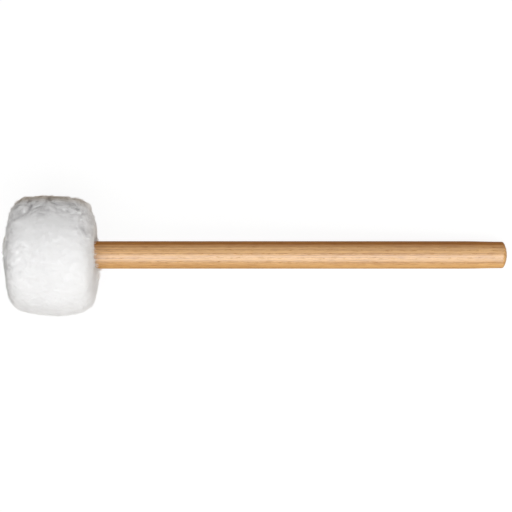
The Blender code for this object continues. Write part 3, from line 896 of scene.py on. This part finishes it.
# %% Surface of the head
PUCKER_DEPTH, PUCKER_WIDTH = 4.0 * MM, 11.0 * MM
NECK_DEPTH, NECK_WIDTH = 1.2 * MM, 6.0 * MM
NECK_DENT, NECK_DENT_WIDTH = 3.2 * MM, 20.0 * MM
DENT_POWER = 20
NUDGE = 0.01
HANDLE_GAP = 0.1 * MM
TABLE_SOFTNESS = 0.7 * MM
FIBRE_RADIUS = 0.045 * MM


def pressed(height):
    """Heights over the table: half of h + sqrt(h² + s²), which stays over zero, and a fibre."""
    return (height + np.sqrt(height**2 + TABLE_SOFTNESS**2)) / 2 + 2 * FIBRE_RADIUS


def head_point(polar, turn, height):
    """Points of the head in the frame, at a height over the tips' outline.

    The point moves out along the outline's normal, which is its slope turned by 90 degrees.
    The relief lifts it, the drawstrings pull it in, and the table presses it flat. The dent
    round the neck is left out at the top and bottom of the picture. No point goes into the
    handle."""
    ahead, behind = outline_point(polar + NUDGE, turn), outline_point(polar - NUDGE, turn)
    slope = np.stack([ahead[0] - behind[0], ahead[1] - behind[1]])
    slope = slope / np.hypot(slope[0], slope[1])
    forward, outward = outline_point(polar, turn)
    height = height + relief(outline_place(polar, turn))
    front = PUCKER_DEPTH * dip(outward, PUCKER_RADIUS, PUCKER_WIDTH) * (np.cos(polar) > 0)
    rear = NECK_DEPTH * dip(outward, NECK_RADIUS, NECK_WIDTH)
    beside = 1 - np.cos(turn) ** DENT_POWER
    rear = rear + NECK_DENT * dip(outward, NECK_RADIUS, NECK_DENT_WIDTH) * beside
    rear = rear * (np.cos(polar) < 0)
    forward = forward + height * slope[1] - front + rear
    outward = outward - height * slope[0]
    station = HEAD_CENTRE + forward
    bare = NECK_RADIUS + HANDLE_GAP
    outward = np.where(station < SHAFT_LENGTH, np.maximum(outward, bare), outward)
    points = in_place(station, outward * np.cos(turn), outward * np.sin(turn))
    points[..., 2] = pressed(points[..., 2])
    return points


top = head_point(np.array([math.pi / 2]), np.array([math.pi / 2]), 0.0)[0, 2]
print("the tips stand", round(top / MM, 1), "mm over the table")

# %% [markdown]
# ## Fleece as a material
#
# White fleece has hardly any colour of its own. What the eye reads as fleece is small soft
# change: locks a little greyer, fibres that catch light, and grey painted shade deep in the
# creases. On the outermost few millimetres of the upper side it turns warmer and darker. The
# same fibrous mottle, with other sizes and tones, serves felt and batting, so it is a group.

# %% Fibre group
BEND_SIZE, BEND_REACH = (6, 6, 6), (5, 5, 5)
STRAND_SHARE = 0.6
MOTTLE = ((0.36, 1.0), (0.66, 0.0))

fibre, given, result = new_group(
    "fibre mottle",
    [
        ("Vector", "Vector", (0, 0, 0)),
        ("Lump Size", "Float", 4.0),
        ("Fibre Length", "Float", 3.0),
        ("Fibre Width", "Float", 0.15),
        ("Light", "Color", (0.9, 0.9, 0.9, 1)),
        ("Dark", "Color", (0.8, 0.8, 0.8, 1)),
    ],
    [("Color", "Color"), ("Height", "Float")],
)


def build_fibres(tree, given, result):
    """Two crossing sets of stretched noise, bent by a slow one, over soft lumps."""
    slow = vectors(tree, "DIVIDE", given["Vector"], BEND_SIZE)
    bend = add(tree, "TexNoise", {"Vector": slow, "Scale": 1.0, "Detail": 2.0}).outputs[1]
    bent = vectors(tree, "MULTIPLY_ADD", bend, BEND_REACH, given["Vector"])
    sizes = [given["Fibre Length"], given["Fibre Width"], given["Fibre Width"]]
    layers = []
    for order in ((0, 1, 2), (1, 0, 2), (1, 2, 0)):
        shape = add(tree, "CombineXYZ", {i: sizes[order[i]] for i in range(3)}).outputs[0]
        scaled = vectors(tree, "DIVIDE", bent, shape)
        noise = add(tree, "TexNoise", {"Vector": scaled, "Scale": 1.0, "Detail": 1.0})
        layers.append(noise.outputs[0])
    strands = maths(tree, "MAXIMUM", maths(tree, "MAXIMUM", layers[0], layers[1]), layers[2])
    size = maths(tree, "DIVIDE", 1.0, given["Lump Size"])
    lumps = {0: given["Vector"], "Scale": size}
    lumps = add(tree, "VectorMath", lumps, operation="SCALE").outputs[0]
    cloud = add(tree, "TexNoise", {"Vector": lumps, "Scale": 1.0, "Detail": 3.0}).outputs[0]
    cloud = maths(tree, "MULTIPLY", cloud, 1 - STRAND_SHARE)
    mixed = maths(tree, "MULTIPLY_ADD", strands, STRAND_SHARE, cloud)
    tone = ramp(tree, mixed, *MOTTLE)
    outputs = {"Color": colours(tree, tone, given["Light"], given["Dark"]), "Height": mixed}
    fill(tree, result, outputs)


build_fibres(fibre, given, result)
print("the fibre group has", len(fibre.nodes), "nodes")

# %% Fibrous materials
FIBRE_BUMP = 0.8
FIBRE_ROUGHNESS, SOFT_ROUGHNESS = 0.95, 0.6
WHITE, WHITE_SHADE = (0.975, 0.975, 0.975), (0.93, 0.93, 0.93)
# The crease grey is painted shade; the warm tint below makes the upper rim warmer and darker.
CREASE_SHADE_GREY = (0.42, 0.41, 0.41, 1)
RIM_WARM_TINT = (0.84, 0.76, 0.67, 1)
FELT, FELT_SHADE = (0.74, 0.71, 0.65), (0.50, 0.47, 0.42)
WOOL, WOOL_SHADE = (0.90, 0.88, 0.84), (0.68, 0.66, 0.62)


def fibre_material(name, light, dark, lump, length, width, depth):
    """A soft fibrous finish: the group's colour, and a bump as deep as the fibres stand."""
    made, tree, shader = new_material(name)
    inputs = {
        "Vector": in_millimetres(tree),
        "Lump Size": lump,
        "Fibre Length": length,
        "Fibre Width": width,
        "Light": (*light, 1),
        "Dark": (*dark, 1),
    }
    mottle = use_group(tree, fibre, inputs)
    finish = {
        "Base Color": mottle["Color"],
        "Normal": bumped(tree, mottle["Height"], FIBRE_BUMP, depth),
        "Roughness": FIBRE_ROUGHNESS,
        "Diffuse Roughness": SOFT_ROUGHNESS,
        "Specular IOR Level": 0.2,
    }
    fill(tree, shader, finish)
    return made


felt = fibre_material("pressed wool felt", FELT, FELT_SHADE, 3.0, 1.2, 0.10, 0.2 * MM)
batting = fibre_material("wool batting", WOOL, WOOL_SHADE, 6.0, 4.0, 0.12, 0.6 * MM)
fleece = fibre_material("white fleece backing", WHITE, WHITE_SHADE, 4.0, 3.0, 0.2, 0.2 * MM)
tree = fleece.node_tree
# The crease attribute greys the backing as painted shade; the rim attribute makes it warmer and
# darker.
deep = add(tree, "Attribute", attribute_name="crease").outputs["Fac"]
base = tree.nodes["Principled BSDF"].inputs["Base Color"]
crease_shaded = colours(tree, deep, base.links[0].from_socket, CREASE_SHADE_GREY)
warm_rim_share = add(tree, "Attribute", attribute_name="warm_upper_rim").outputs["Fac"]
tree.links.new(colours(tree, warm_rim_share, crease_shaded, RIM_WARM_TINT, "MULTIPLY"), base)
print("fibrous finishes:", felt.name, "/", batting.name, "/", fleece.name)

# %% [markdown]
# ## The fleece backing
#
# Under the pile lies the knitted backing, drawn over the padding like a bag. It is a real
# shell: its outside follows the outline, a millimetre or two below the tips, turns in at the
# neck and at the pucker, and comes back as the lining over the padding. Simulated cloth would
# lose the pile's height here, so the swell and the clumps come from the formulas above.

# %% Backing
PILE_HEIGHT = 1.6 * MM
BACKING_COLUMNS = 288
OUTSIDE_ROWS, LIP_ROWS, LINING_ROWS = 170, 8, 60
TUFT_SIZE, TUFT_HEIGHT = 2.6 * MM, 0.35 * MM
LINING_GAP = 0.4 * MM
PADDING_HALF = (padding_size[1] - padding_size[0]) / 2


def lining_point(polar, turn):
    """The lining, a squared ellipse just outside the padding: |x / half|⁴ + |y / radius|⁴ = 1."""
    half = PADDING_HALF + LINING_GAP
    radius = padding_size[2] + LINING_GAP
    reach = (np.abs(np.cos(polar) / half) ** 4 + (np.sin(polar) / radius) ** 4) ** -0.25
    middle = (padding_size[1] + padding_size[0]) / 2
    outward = reach * np.sin(polar)
    station = middle + reach * np.cos(polar) + 0 * turn
    return in_place(station, outward * np.cos(turn), outward * np.sin(turn))


def backing_points():
    """A grid of rows round the axis: outside, neck lip, lining and pucker lip."""
    turn = np.linspace(0, 2 * math.pi, BACKING_COLUMNS, endpoint=False)[None, :]
    polar = np.linspace(FIRST_DIRECTION, LAST_DIRECTION, OUTSIDE_ROWS)[:, None]
    outer = head_point(polar, turn, -PILE_HEIGHT)
    tufts = TUFT_HEIGHT * soft_noise(outer, TUFT_SIZE, 7)
    outer = head_point(polar, turn, -PILE_HEIGHT + tufts)
    at_neck = math.atan2(NECK_RADIUS, PADDING_HALF)
    at_pucker = at_neck * PUCKER_RADIUS / NECK_RADIUS
    inner = lining_point(np.linspace(math.pi - at_neck, at_pucker, LINING_ROWS)[:, None], turn)
    lip = np.linspace(0, 1, LIP_ROWS + 2)[1:-1, None, None]
    neck_lip = outer[-1] * (1 - lip) + inner[0] * lip
    pucker_lip = inner[-1] * (1 - lip) + outer[0] * lip
    return np.concatenate([outer, neck_lip, inner, pucker_lip])


backing_grid = backing_points()
print("the backing is a grid of", backing_grid.shape[:2])

# %% Painted crease shade and a warmer upper rim
CREASE_START, CREASE_GAIN = 1.25, 2.8
STRIKING_CREASE, OTHER_CREASE = 0.75, 0.25
PALER_FAR, PALER_FAR_STEPS = 0.35, (-20, 5)
PALER_BEHIND, PALER_BEHIND_STEPS = 0.45, (8, 28)
RIM_LESS_BEHIND, RIM_LESS_STEPS = 0.5, (15, 36)
RIM_SLANT, RIM_ARCH, RIM_SIDE = 0.35, (41.5, 48.5), (-15, 20)


def painted_crease_shade(places):
    """Painted shade from 0 on the back of a strand to 1 in a deep crease, mostly on the striking
    side.

    They are a third paler on the far half of that side, and almost half near the neck."""
    depth = np.clip(CREASE_START - CREASE_GAIN * swell(places), 0, 1)
    far = 1 - PALER_FAR * rising(-places[..., 2], *PALER_FAR_STEPS)
    behind = 1 - PALER_BEHIND * rising(-places[..., 0], *PALER_BEHIND_STEPS)
    shown = STRIKING_CREASE * striking(places) + OTHER_CREASE * tousled(places)
    return depth * far * behind * shown


def warm_upper_rim(places):
    """From 0 to 1 over the outermost 7 mm of the striking side, where the colour is warmer and
    darker.

    It reaches further down behind than in front, but only half as strong there."""
    side = places[..., 1] - RIM_SLANT * places[..., 0]
    less = 1 - RIM_LESS_BEHIND * rising(-places[..., 0], *RIM_LESS_STEPS)
    return less * rising(near_outline(places), *RIM_ARCH) * rising(side, *RIM_SIDE)


print("worn at the top and in the middle of the picture:", warm_upper_rim(top_and_middle).round(2))

# %% Backing piece
faces = grid_faces(len(backing_grid), BACKING_COLUMNS, joined=True)
points = backing_grid.reshape(-1, 3)
backing = piece("fleece_backing", points, [faces], fleece)
places = (points - in_place(HEAD_CENTRE, 0.0, 0.0)) @ np.stack([along, across, lift], axis=1)
# Per point: painted shade in the creases, and the share of the warmer, darker upper rim.
for name, shares in (("crease", painted_crease_shade(places)), ("warm_upper_rim", warm_upper_rim(places))):
    layer = backing.data.attributes.new(name, "FLOAT", "POINT")
    layer.data.foreach_set("value", shares.astype(np.float32))
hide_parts("fleece_cover")

# %% [markdown]
# ## The pile
#
# A flat surface can't look like fleece from the side, so the pile is real geometry: thousands
# of short locks, each a dozen fibres that start side by side, are combed the same way, wave
# together and draw together by a third towards the tip. A fibre is a thin three-sided tube
# with a point, closed at the root, twenty-two triangles in all.
#
# Roots are spread by the golden angle, the way seeds sit in a sunflower: each next lock turns
# by 137.5 degrees and moves on by an equal share of the skin. The combing follows the strands,
# so that neighbouring locks lie alike and the pile shows soft swirls. A fibre's colour is read
# off its map at each ring: painted shade greys it where it dips into a crease, and on the upper
# rim it is warmer and darker.

# %% Roots of the locks
GOLDEN_ANGLE = math.pi * (3 - math.sqrt(5))
SKIN_STEPS = 2000


def lock_roots(count):
    """The direction and turn of each lock, with equal shares of the head's skin between them."""
    steps = np.linspace(FIRST_DIRECTION, LAST_DIRECTION, SKIN_STEPS)
    forward, outward = outline_point(steps, math.pi / 2)
    lengths = np.hypot(np.diff(forward), np.diff(outward))
    area = np.concatenate([[0], np.cumsum(lengths * (outward[1:] + outward[:-1]) / 2)])
    share = (np.arange(count) + 0.5) / count
    polar = np.interp(share * area[-1], area, steps)
    turn = np.mod(GOLDEN_ANGLE * np.arange(count), 2 * math.pi)
    print("the skin measures", round(2 * math.pi * area[-1] / MM**2), "mm²")
    return polar, turn


def combing(centres, turn):
    """The angle at which strands run on the skin: 0 towards the neck, 90 degrees round the head.

    Along a strand the bent place keeps its sideways value, so its lean is minus the sideways
    bend that one step along the mallet brings."""
    step = np.array((-1.0, 0.0, 0.0)) * MM
    sideways = np.stack([0 * turn, -np.sin(turn), np.cos(turn)], axis=-1)
    brought = ((strand_bend(centres + step) - strand_bend(centres)) * sideways).sum(axis=-1)
    return np.arctan2(-brought, MM)


LOCKS = 4000
lock_count = LOCKS
lock_polar, lock_turn = lock_roots(lock_count)
print("the pile has", lock_count, "locks")

# %% Paths of the fibres
FIBRES = 12
RINGS = np.array((0.0, 0.3, 0.58, 0.82, 1.0))
LOCK_RADIUS = 2.2 * MM
LOCK_GATHER = 0.65
FIBRE_LENGTH, LENGTH_SPREAD = (5.5 * MM, 9.0 * MM), 0.18
COMB_SPREAD = 0.35
WAVE_HEIGHT, WAVE_SPREAD = 0.45 * MM, 0.3
WAVES, WAVE_SHIFT = (0.7, 1.3), 0.5
LOCK_HEIGHT, LOCK_HEIGHT_SPREAD, FIBRE_HEIGHT_SPREAD = 0.92, 0.22, 0.12
ROOT_DEPTH = 0.3 * MM
PAST_NECK = 0.02
# Fibres darken deep in a crease as painted shade, and each lock gets its own random tone.
PALEST, CREASE_DARKENING, LOCK_TONES = 0.98, 1.15, 0.05


def fibre_steps(chance, length, comb):
    """Steps on the skin from a lock's place to each ring: towards the neck, and round the head.

    A fibre walks in the combing direction c by its length, from half the lock's length before
    its place. It sways as a sine, and the lock gathers towards its tip. Last comes a random
    share for each fibre's height."""
    phase = chance.uniform(0, 2 * math.pi, len(length))[:, None, None]
    waves = chance.uniform(*WAVES, len(length))[:, None, None]
    shape = (len(length), FIBRES)
    spread = LOCK_RADIUS * np.sqrt(chance.uniform(0, 1, shape))[..., None]
    heading = chance.uniform(0, 2 * math.pi, shape)[..., None]
    longer, higher, later, taller, _ = chance.uniform(-1, 1, (5, *shape, 1))
    length, comb, t = length[:, None, None], comb[:, None, None], RINGS
    walk = length * ((1 + LENGTH_SPREAD * longer) * t - 0.5)
    sway = np.sin(2 * math.pi * waves * t + phase + WAVE_SHIFT * later)
    sway = WAVE_HEIGHT * (1 + WAVE_SPREAD * higher) * t * sway
    gather = (1 - (1 - LOCK_GATHER) * t) * spread
    to_neck = walk * np.cos(comb) - sway * np.sin(comb) + gather * np.cos(heading)
    round_head = walk * np.sin(comb) + sway * np.cos(comb) + gather * np.sin(heading)
    return to_neck, round_head, taller


def pile_paths(polar, turn, seed):
    """The path of every fibre, (locks, fibres, rings, 3), its tone and how soiled it is.

    A fibre rises from a little below the backing as 1 - (1 - t)² of its height."""
    chance = np.random.default_rng(seed)
    count = len(polar)
    comb = combing(outline_place(polar, turn), turn) + COMB_SPREAD * chance.normal(size=count)
    length = chance.uniform(*FIBRE_LENGTH, count)
    height = PILE_HEIGHT * (LOCK_HEIGHT + LOCK_HEIGHT_SPREAD * chance.uniform(-1, 1, count))
    to_neck, round_head, taller = fibre_steps(chance, length, comb)
    lock_tone = LOCK_TONES * chance.uniform(-1, 1, count)[:, None, None]

    forward, outward = outline_point(polar, turn)
    reach = np.hypot(forward, outward)[:, None, None]
    middle = np.maximum(outward, NECK_RADIUS / 2)[:, None, None]
    polar = polar[:, None, None] + to_neck / reach
    polar = np.clip(polar, FIRST_DIRECTION / 2, LAST_DIRECTION + PAST_NECK)
    # Every fibre's path (locks, fibres, rings, 3), its tone with painted crease shade, and its rim
    # share.
    turn = turn[:, None, None] + round_head / middle
    top = height[:, None, None] * (1 + FIBRE_HEIGHT_SPREAD * taller)
    rise = (top + ROOT_DEPTH) * (1 - (1 - RINGS) ** 2) - PILE_HEIGHT - ROOT_DEPTH
    paths = head_point(polar, turn, rise)
    outwards = head_point(polar, turn, rise + MM) - paths
    places = outline_place(polar, turn)
    # Tone: painted shade in the creases, plus each lock's random tone.
    tone = PALEST - CREASE_DARKENING * painted_crease_shade(places) + lock_tone
    return paths, outwards, tone, warm_upper_rim(places)


paths, outwards, crease_shade_and_tones, rim_shares = pile_paths(lock_polar, lock_turn, seed=5)
print("fibres, with their rings:", paths.shape[:3])


# %% Fibre tubes
def fibre_mesh(paths, outwards):
    """Points of three-sided tubes along paths (n, rings, 3), and their faces.

    Each ring but the last is three points round the path, at a radius that shrinks to half,
    with a flat side facing outwards. The last ring is the tip, a single point."""
    ahead = np.gradient(paths, axis=1)
    ahead /= np.linalg.norm(ahead, axis=-1, keepdims=True) + 1e-12
    beside = np.cross(ahead, outwards)
    beside /= np.linalg.norm(beside, axis=-1, keepdims=True) + 1e-12
    over = np.cross(beside, ahead)
    width = FIBRE_RADIUS * (1 - 0.5 * RINGS[:-1])[None, :, None, None]
    angle = math.pi / 6 + np.arange(3) * 2 * math.pi / 3
    around = np.cos(angle)[:, None] * beside[:, :-1, None]
    around = around + np.sin(angle)[:, None] * over[:, :-1, None]
    tubes = paths[:, :-1, None] + width * around
    count, rings = len(paths), len(RINGS) - 1
    points = np.concatenate([tubes.reshape(count, -1, 3), paths[:, -1:]], axis=1)
    quads = grid_faces(rings, 3)
    last = (rings - 1) * 3
    tip = np.array([(last + i, 3 * rings, last + (i + 1) % 3) for i in range(3)])[:, ::-1]
    root = np.array([(0, 1, 2)])
    return points, quads, tip, root


def many(faces, count, stride):
    """The faces of one small shape, repeated for each of many that follow each other."""
    return (faces[None] + stride * np.arange(count)[:, None, None]).reshape(-1, faces.shape[1])


print("a fibre is", round(2 * FIBRE_RADIUS / MM, 2), "mm thick at its root")

# %% Pile material
# The grey is painted shade for fibres deep in a crease.
PILE_SHADE_GREY, PILE_WHITE = (0.48, 0.47, 0.48, 1), (0.985, 0.985, 0.985, 1)
PILE_ROUGHNESS = 0.75


def pile_material():
    """White fibres, greyed in the creases by painted shade, warmer and darker on the upper rim."""
    made, tree, shader = new_material("white fleece pile")
    place = add(tree, "UVMap", uv_map="OFBake").outputs[0]
    parts = add(tree, "SeparateXYZ", {0: place}).outputs
    # Across the map: painted crease shade and each lock's tone; up it: the warmer upper rim.
    lock = colours(tree, parts[0], PILE_SHADE_GREY, PILE_WHITE)
    finish = {
        "Base Color": colours(tree, parts[1], lock, RIM_WARM_TINT, "MULTIPLY"),
        "Roughness": PILE_ROUGHNESS,
        "Diffuse Roughness": SOFT_ROUGHNESS,
        "Specular IOR Level": 0.3,
    }
    fill(tree, shader, finish)
    return made


pile_finish = pile_material()
print("the fibres are of", pile_finish.name)

# %% Fibre map
MAP_MARGIN, MAP_SPAN = 0.04, 0.9
MAP_LEAST, MAP_MOST = 0.02, 0.95
RIM_MARGIN, RIM_SPAN = 0.01, 0.94
MAP_STEP = 0.01


def map_fibres(pile, crease_shade_and_tones, rim_shares):
    """A UV map: across, painted crease shade and lock tone at each ring; up, the warm rim's share.

    Its sides and rings lie a little apart there, so that every face has some width."""
    order = np.empty(len(pile.data.loops), np.int32)
    pile.data.loops.foreach_get("vertex_index", order)
    tip = len(RINGS) - 1
    of_fibre, of_point = np.divmod(order, 3 * tip + 1)
    ring = np.minimum(of_point // 3, tip)
    side = np.where(ring == tip, 1.0, of_point % 3)
    tone = np.clip(MAP_MARGIN + MAP_SPAN * crease_shade_and_tones[of_fibre, ring], MAP_LEAST, MAP_MOST)
    rim_share = RIM_MARGIN + RIM_SPAN * rim_shares[of_fibre, ring]
    map_faces(pile, tone + MAP_STEP * side, rim_share + MAP_STEP * ring)


def fibre_piece(name, paths, outwards, crease_shade_and_tones, rim_shares):
    """A piece of pile from fibre paths (n, rings, 3), with its map."""
    points, *faces = fibre_mesh(paths, outwards)
    sets = [many(kind, len(points), points.shape[1]) for kind in faces]
    made = piece(name, points.reshape(-1, 3), sets, pile_finish, smooth=False)
    map_fibres(made, crease_shade_and_tones, rim_shares)


# %% Pile
PILE_PIECES = 8

for number, block in enumerate(np.array_split(np.arange(lock_count), PILE_PIECES), 1):
    shares = (kind[block].reshape(-1, len(RINGS)) for kind in (crease_shade_and_tones, rim_shares))
    ways = (kind[block].reshape(-1, len(RINGS), 3) for kind in (paths, outwards))
    fibre_piece(f"fleece_pile_{number}", *ways, *shares)

# %% [markdown]
# ## Wisps at the neck
#
# Where the handle goes in, the neck string bunches the pile and its ends stick out over the
# wood in uneven tufts. They are fibres of the same kind, laid along the handle.

# %% Wisps
WISPS = 2200
WISP_TUFTS = 15
WISP_WANDER, WISP_LUMP = 2.0, 0.7
WISP_LENGTH = (0.2 * MM, 4.5 * MM)
WISP_START = 1.5 * MM
WISP_BASE, WISP_BASE_SPREAD = 0.15 * MM, 0.7 * MM
WISP_RISE, WISP_BOW = 1.2 * MM, 0.7
WISP_DRIFT = 0.35
WISP_INSIDE = 0.05
# Wisps are near white, with a tenth of the warm rim tint.
WISP_TONE, WISP_RIM_SHARE = 0.95, 0.1


def wisp_paths(count, seed):
    """Paths of fibres that come out of the neck and lie over the handle.

    The length swells and shrinks round the handle as |sin| of the turn, bent by noise, and
    each fibre bows up from the wood as the first part of a sine along it."""
    chance = np.random.default_rng(seed)
    turn = chance.uniform(0, 2 * math.pi, count)
    ring = np.stack([0 * turn, np.cos(turn), np.sin(turn)], axis=-1)
    wander = WISP_WANDER * soft_noise(ring, WISP_LUMP, 51)
    tuft = np.abs(np.sin(WISP_TUFTS * turn / 2 + wander))
    longer, lower, bowed, aside = chance.uniform(0, 1, (4, count))
    length = WISP_LENGTH[0] + (WISP_LENGTH[1] - WISP_LENGTH[0]) * tuft * longer
    polar = np.full(count, LAST_DIRECTION - WISP_INSIDE)
    start = (head_point(polar, turn, -PILE_HEIGHT * lower) - butt) @ along
    t = RINGS
    station = start[:, None] + WISP_START - (length + WISP_START)[:, None] * t
    base = HANDLE_RADIUS + WISP_BASE + WISP_BASE_SPREAD * lower[:, None]
    radius = base + WISP_RISE * bowed[:, None] * np.sin(WISP_BOW * math.pi * t)
    turn = turn[:, None] + (aside[:, None] - 0.5) * WISP_DRIFT * t
    paths = in_place(station, radius * np.cos(turn), radius * np.sin(turn))
    outwards = in_place(0 * station, np.cos(turn), np.sin(turn)) - butt
    return paths, outwards


wisp_count = WISPS
shares = (np.full((wisp_count, len(RINGS)), share) for share in (WISP_TONE, WISP_RIM_SHARE))
fibre_piece("neck_wisps", *wisp_paths(wisp_count, seed=9), *shares)

# %% [markdown]
# ## The pieces inside
#
# The core, washer, screw, felt and threads keep their shapes from the frame. They show only
# when the mallet is taken apart, but then a turned maple core, zinc-plated steel and waxed
# thread should look like what they are.

# %% Maple
maple, *_ = wood_material(
    "turned maple",
    {
        "Pith": (0, 31, 6),
        "Ring Width": 3.1,
        "Wander": 0.8,
        "Light Wood": (0.70, 0.54, 0.36, 1),
        "Dark Wood": (0.55, 0.38, 0.22, 1),
        "Heart Tint": (0.85, 0.80, 0.75, 1),
        "Heart Edge": 20.0,
        "Pore": (0.36, 0.24, 0.14, 1),
        "Pores": 0.25,
    },
    rough=0.55,
    band_rough=0.08,
    bump=0.3,
)
print("the core is of", maple.name)

# %% Steel
SPANGLE_SIZE, SCRATCH_SIZE = (1.2, 1.2, 1.2), (4.0, 0.12, 0.12)
ZINC_BLUE, ZINC_WARM = (0.56, 0.57, 0.58, 1), (0.70, 0.69, 0.66, 1)
LEAST_ROUGH, SCRATCH_ROUGH = 0.22, 0.22
SCRATCH_BUMP, SCRATCH_DEPTH = 0.15, 0.05 * MM

steel, tree, shader = new_material("zinc-plated steel")
place = in_millimetres(tree)
spangle = stretched_noise(tree, place, SPANGLE_SIZE, 3.0)
scratches = stretched_noise(tree, place, SCRATCH_SIZE, 2.0)
plating = {
    "Base Color": colours(tree, spangle, ZINC_BLUE, ZINC_WARM),
    "Roughness": maths(tree, "MULTIPLY_ADD", scratches, SCRATCH_ROUGH, LEAST_ROUGH),
    "Normal": bumped(tree, scratches, SCRATCH_BUMP, SCRATCH_DEPTH),
    "Metallic": 1.0,
}
fill(tree, shader, plating)
print("washer and screw are of", steel.name)

# %% Thread
PLY_DARK, PLY_LIGHT = (0.62, 0.58, 0.50, 1), (0.82, 0.79, 0.72, 1)
PLIES_PER_MM, PLY_BEND = 0.9, 1.5
PLY_BUMP, PLY_DEPTH = 0.6, 0.1 * MM

thread, tree, shader = new_material("waxed thread")
twist = {"Vector": in_millimetres(tree), "Scale": PLIES_PER_MM, "Distortion": PLY_BEND}
ply = add(tree, "TexWave", twist, bands_direction="DIAGONAL").outputs[1]
waxed = {
    "Base Color": colours(tree, ply, PLY_DARK, PLY_LIGHT),
    "Roughness": 0.55,
    "Normal": bumped(tree, ply, PLY_BUMP, PLY_DEPTH),
}
fill(tree, shader, waxed)
print("seam and drawstrings are of", thread.name)

# %% Inner finishes
FINISHES = {
    "core": maple,
    "core_washer": steel,
    "core_screw": steel,
    "rear_felt_disc": felt,
    "front_felt_disc": felt,
    "felt_wrap": felt,
    "padding": batting,
    "seam_thread": thread,
    "neck_drawstring": thread,
    "pucker_drawstring": thread,
}
for name, finish in FINISHES.items():
    for material_slot in frame["nodes"][name].material_slots:
        material_slot.material = finish
print(len(FINISHES), "inner pieces have their finish")
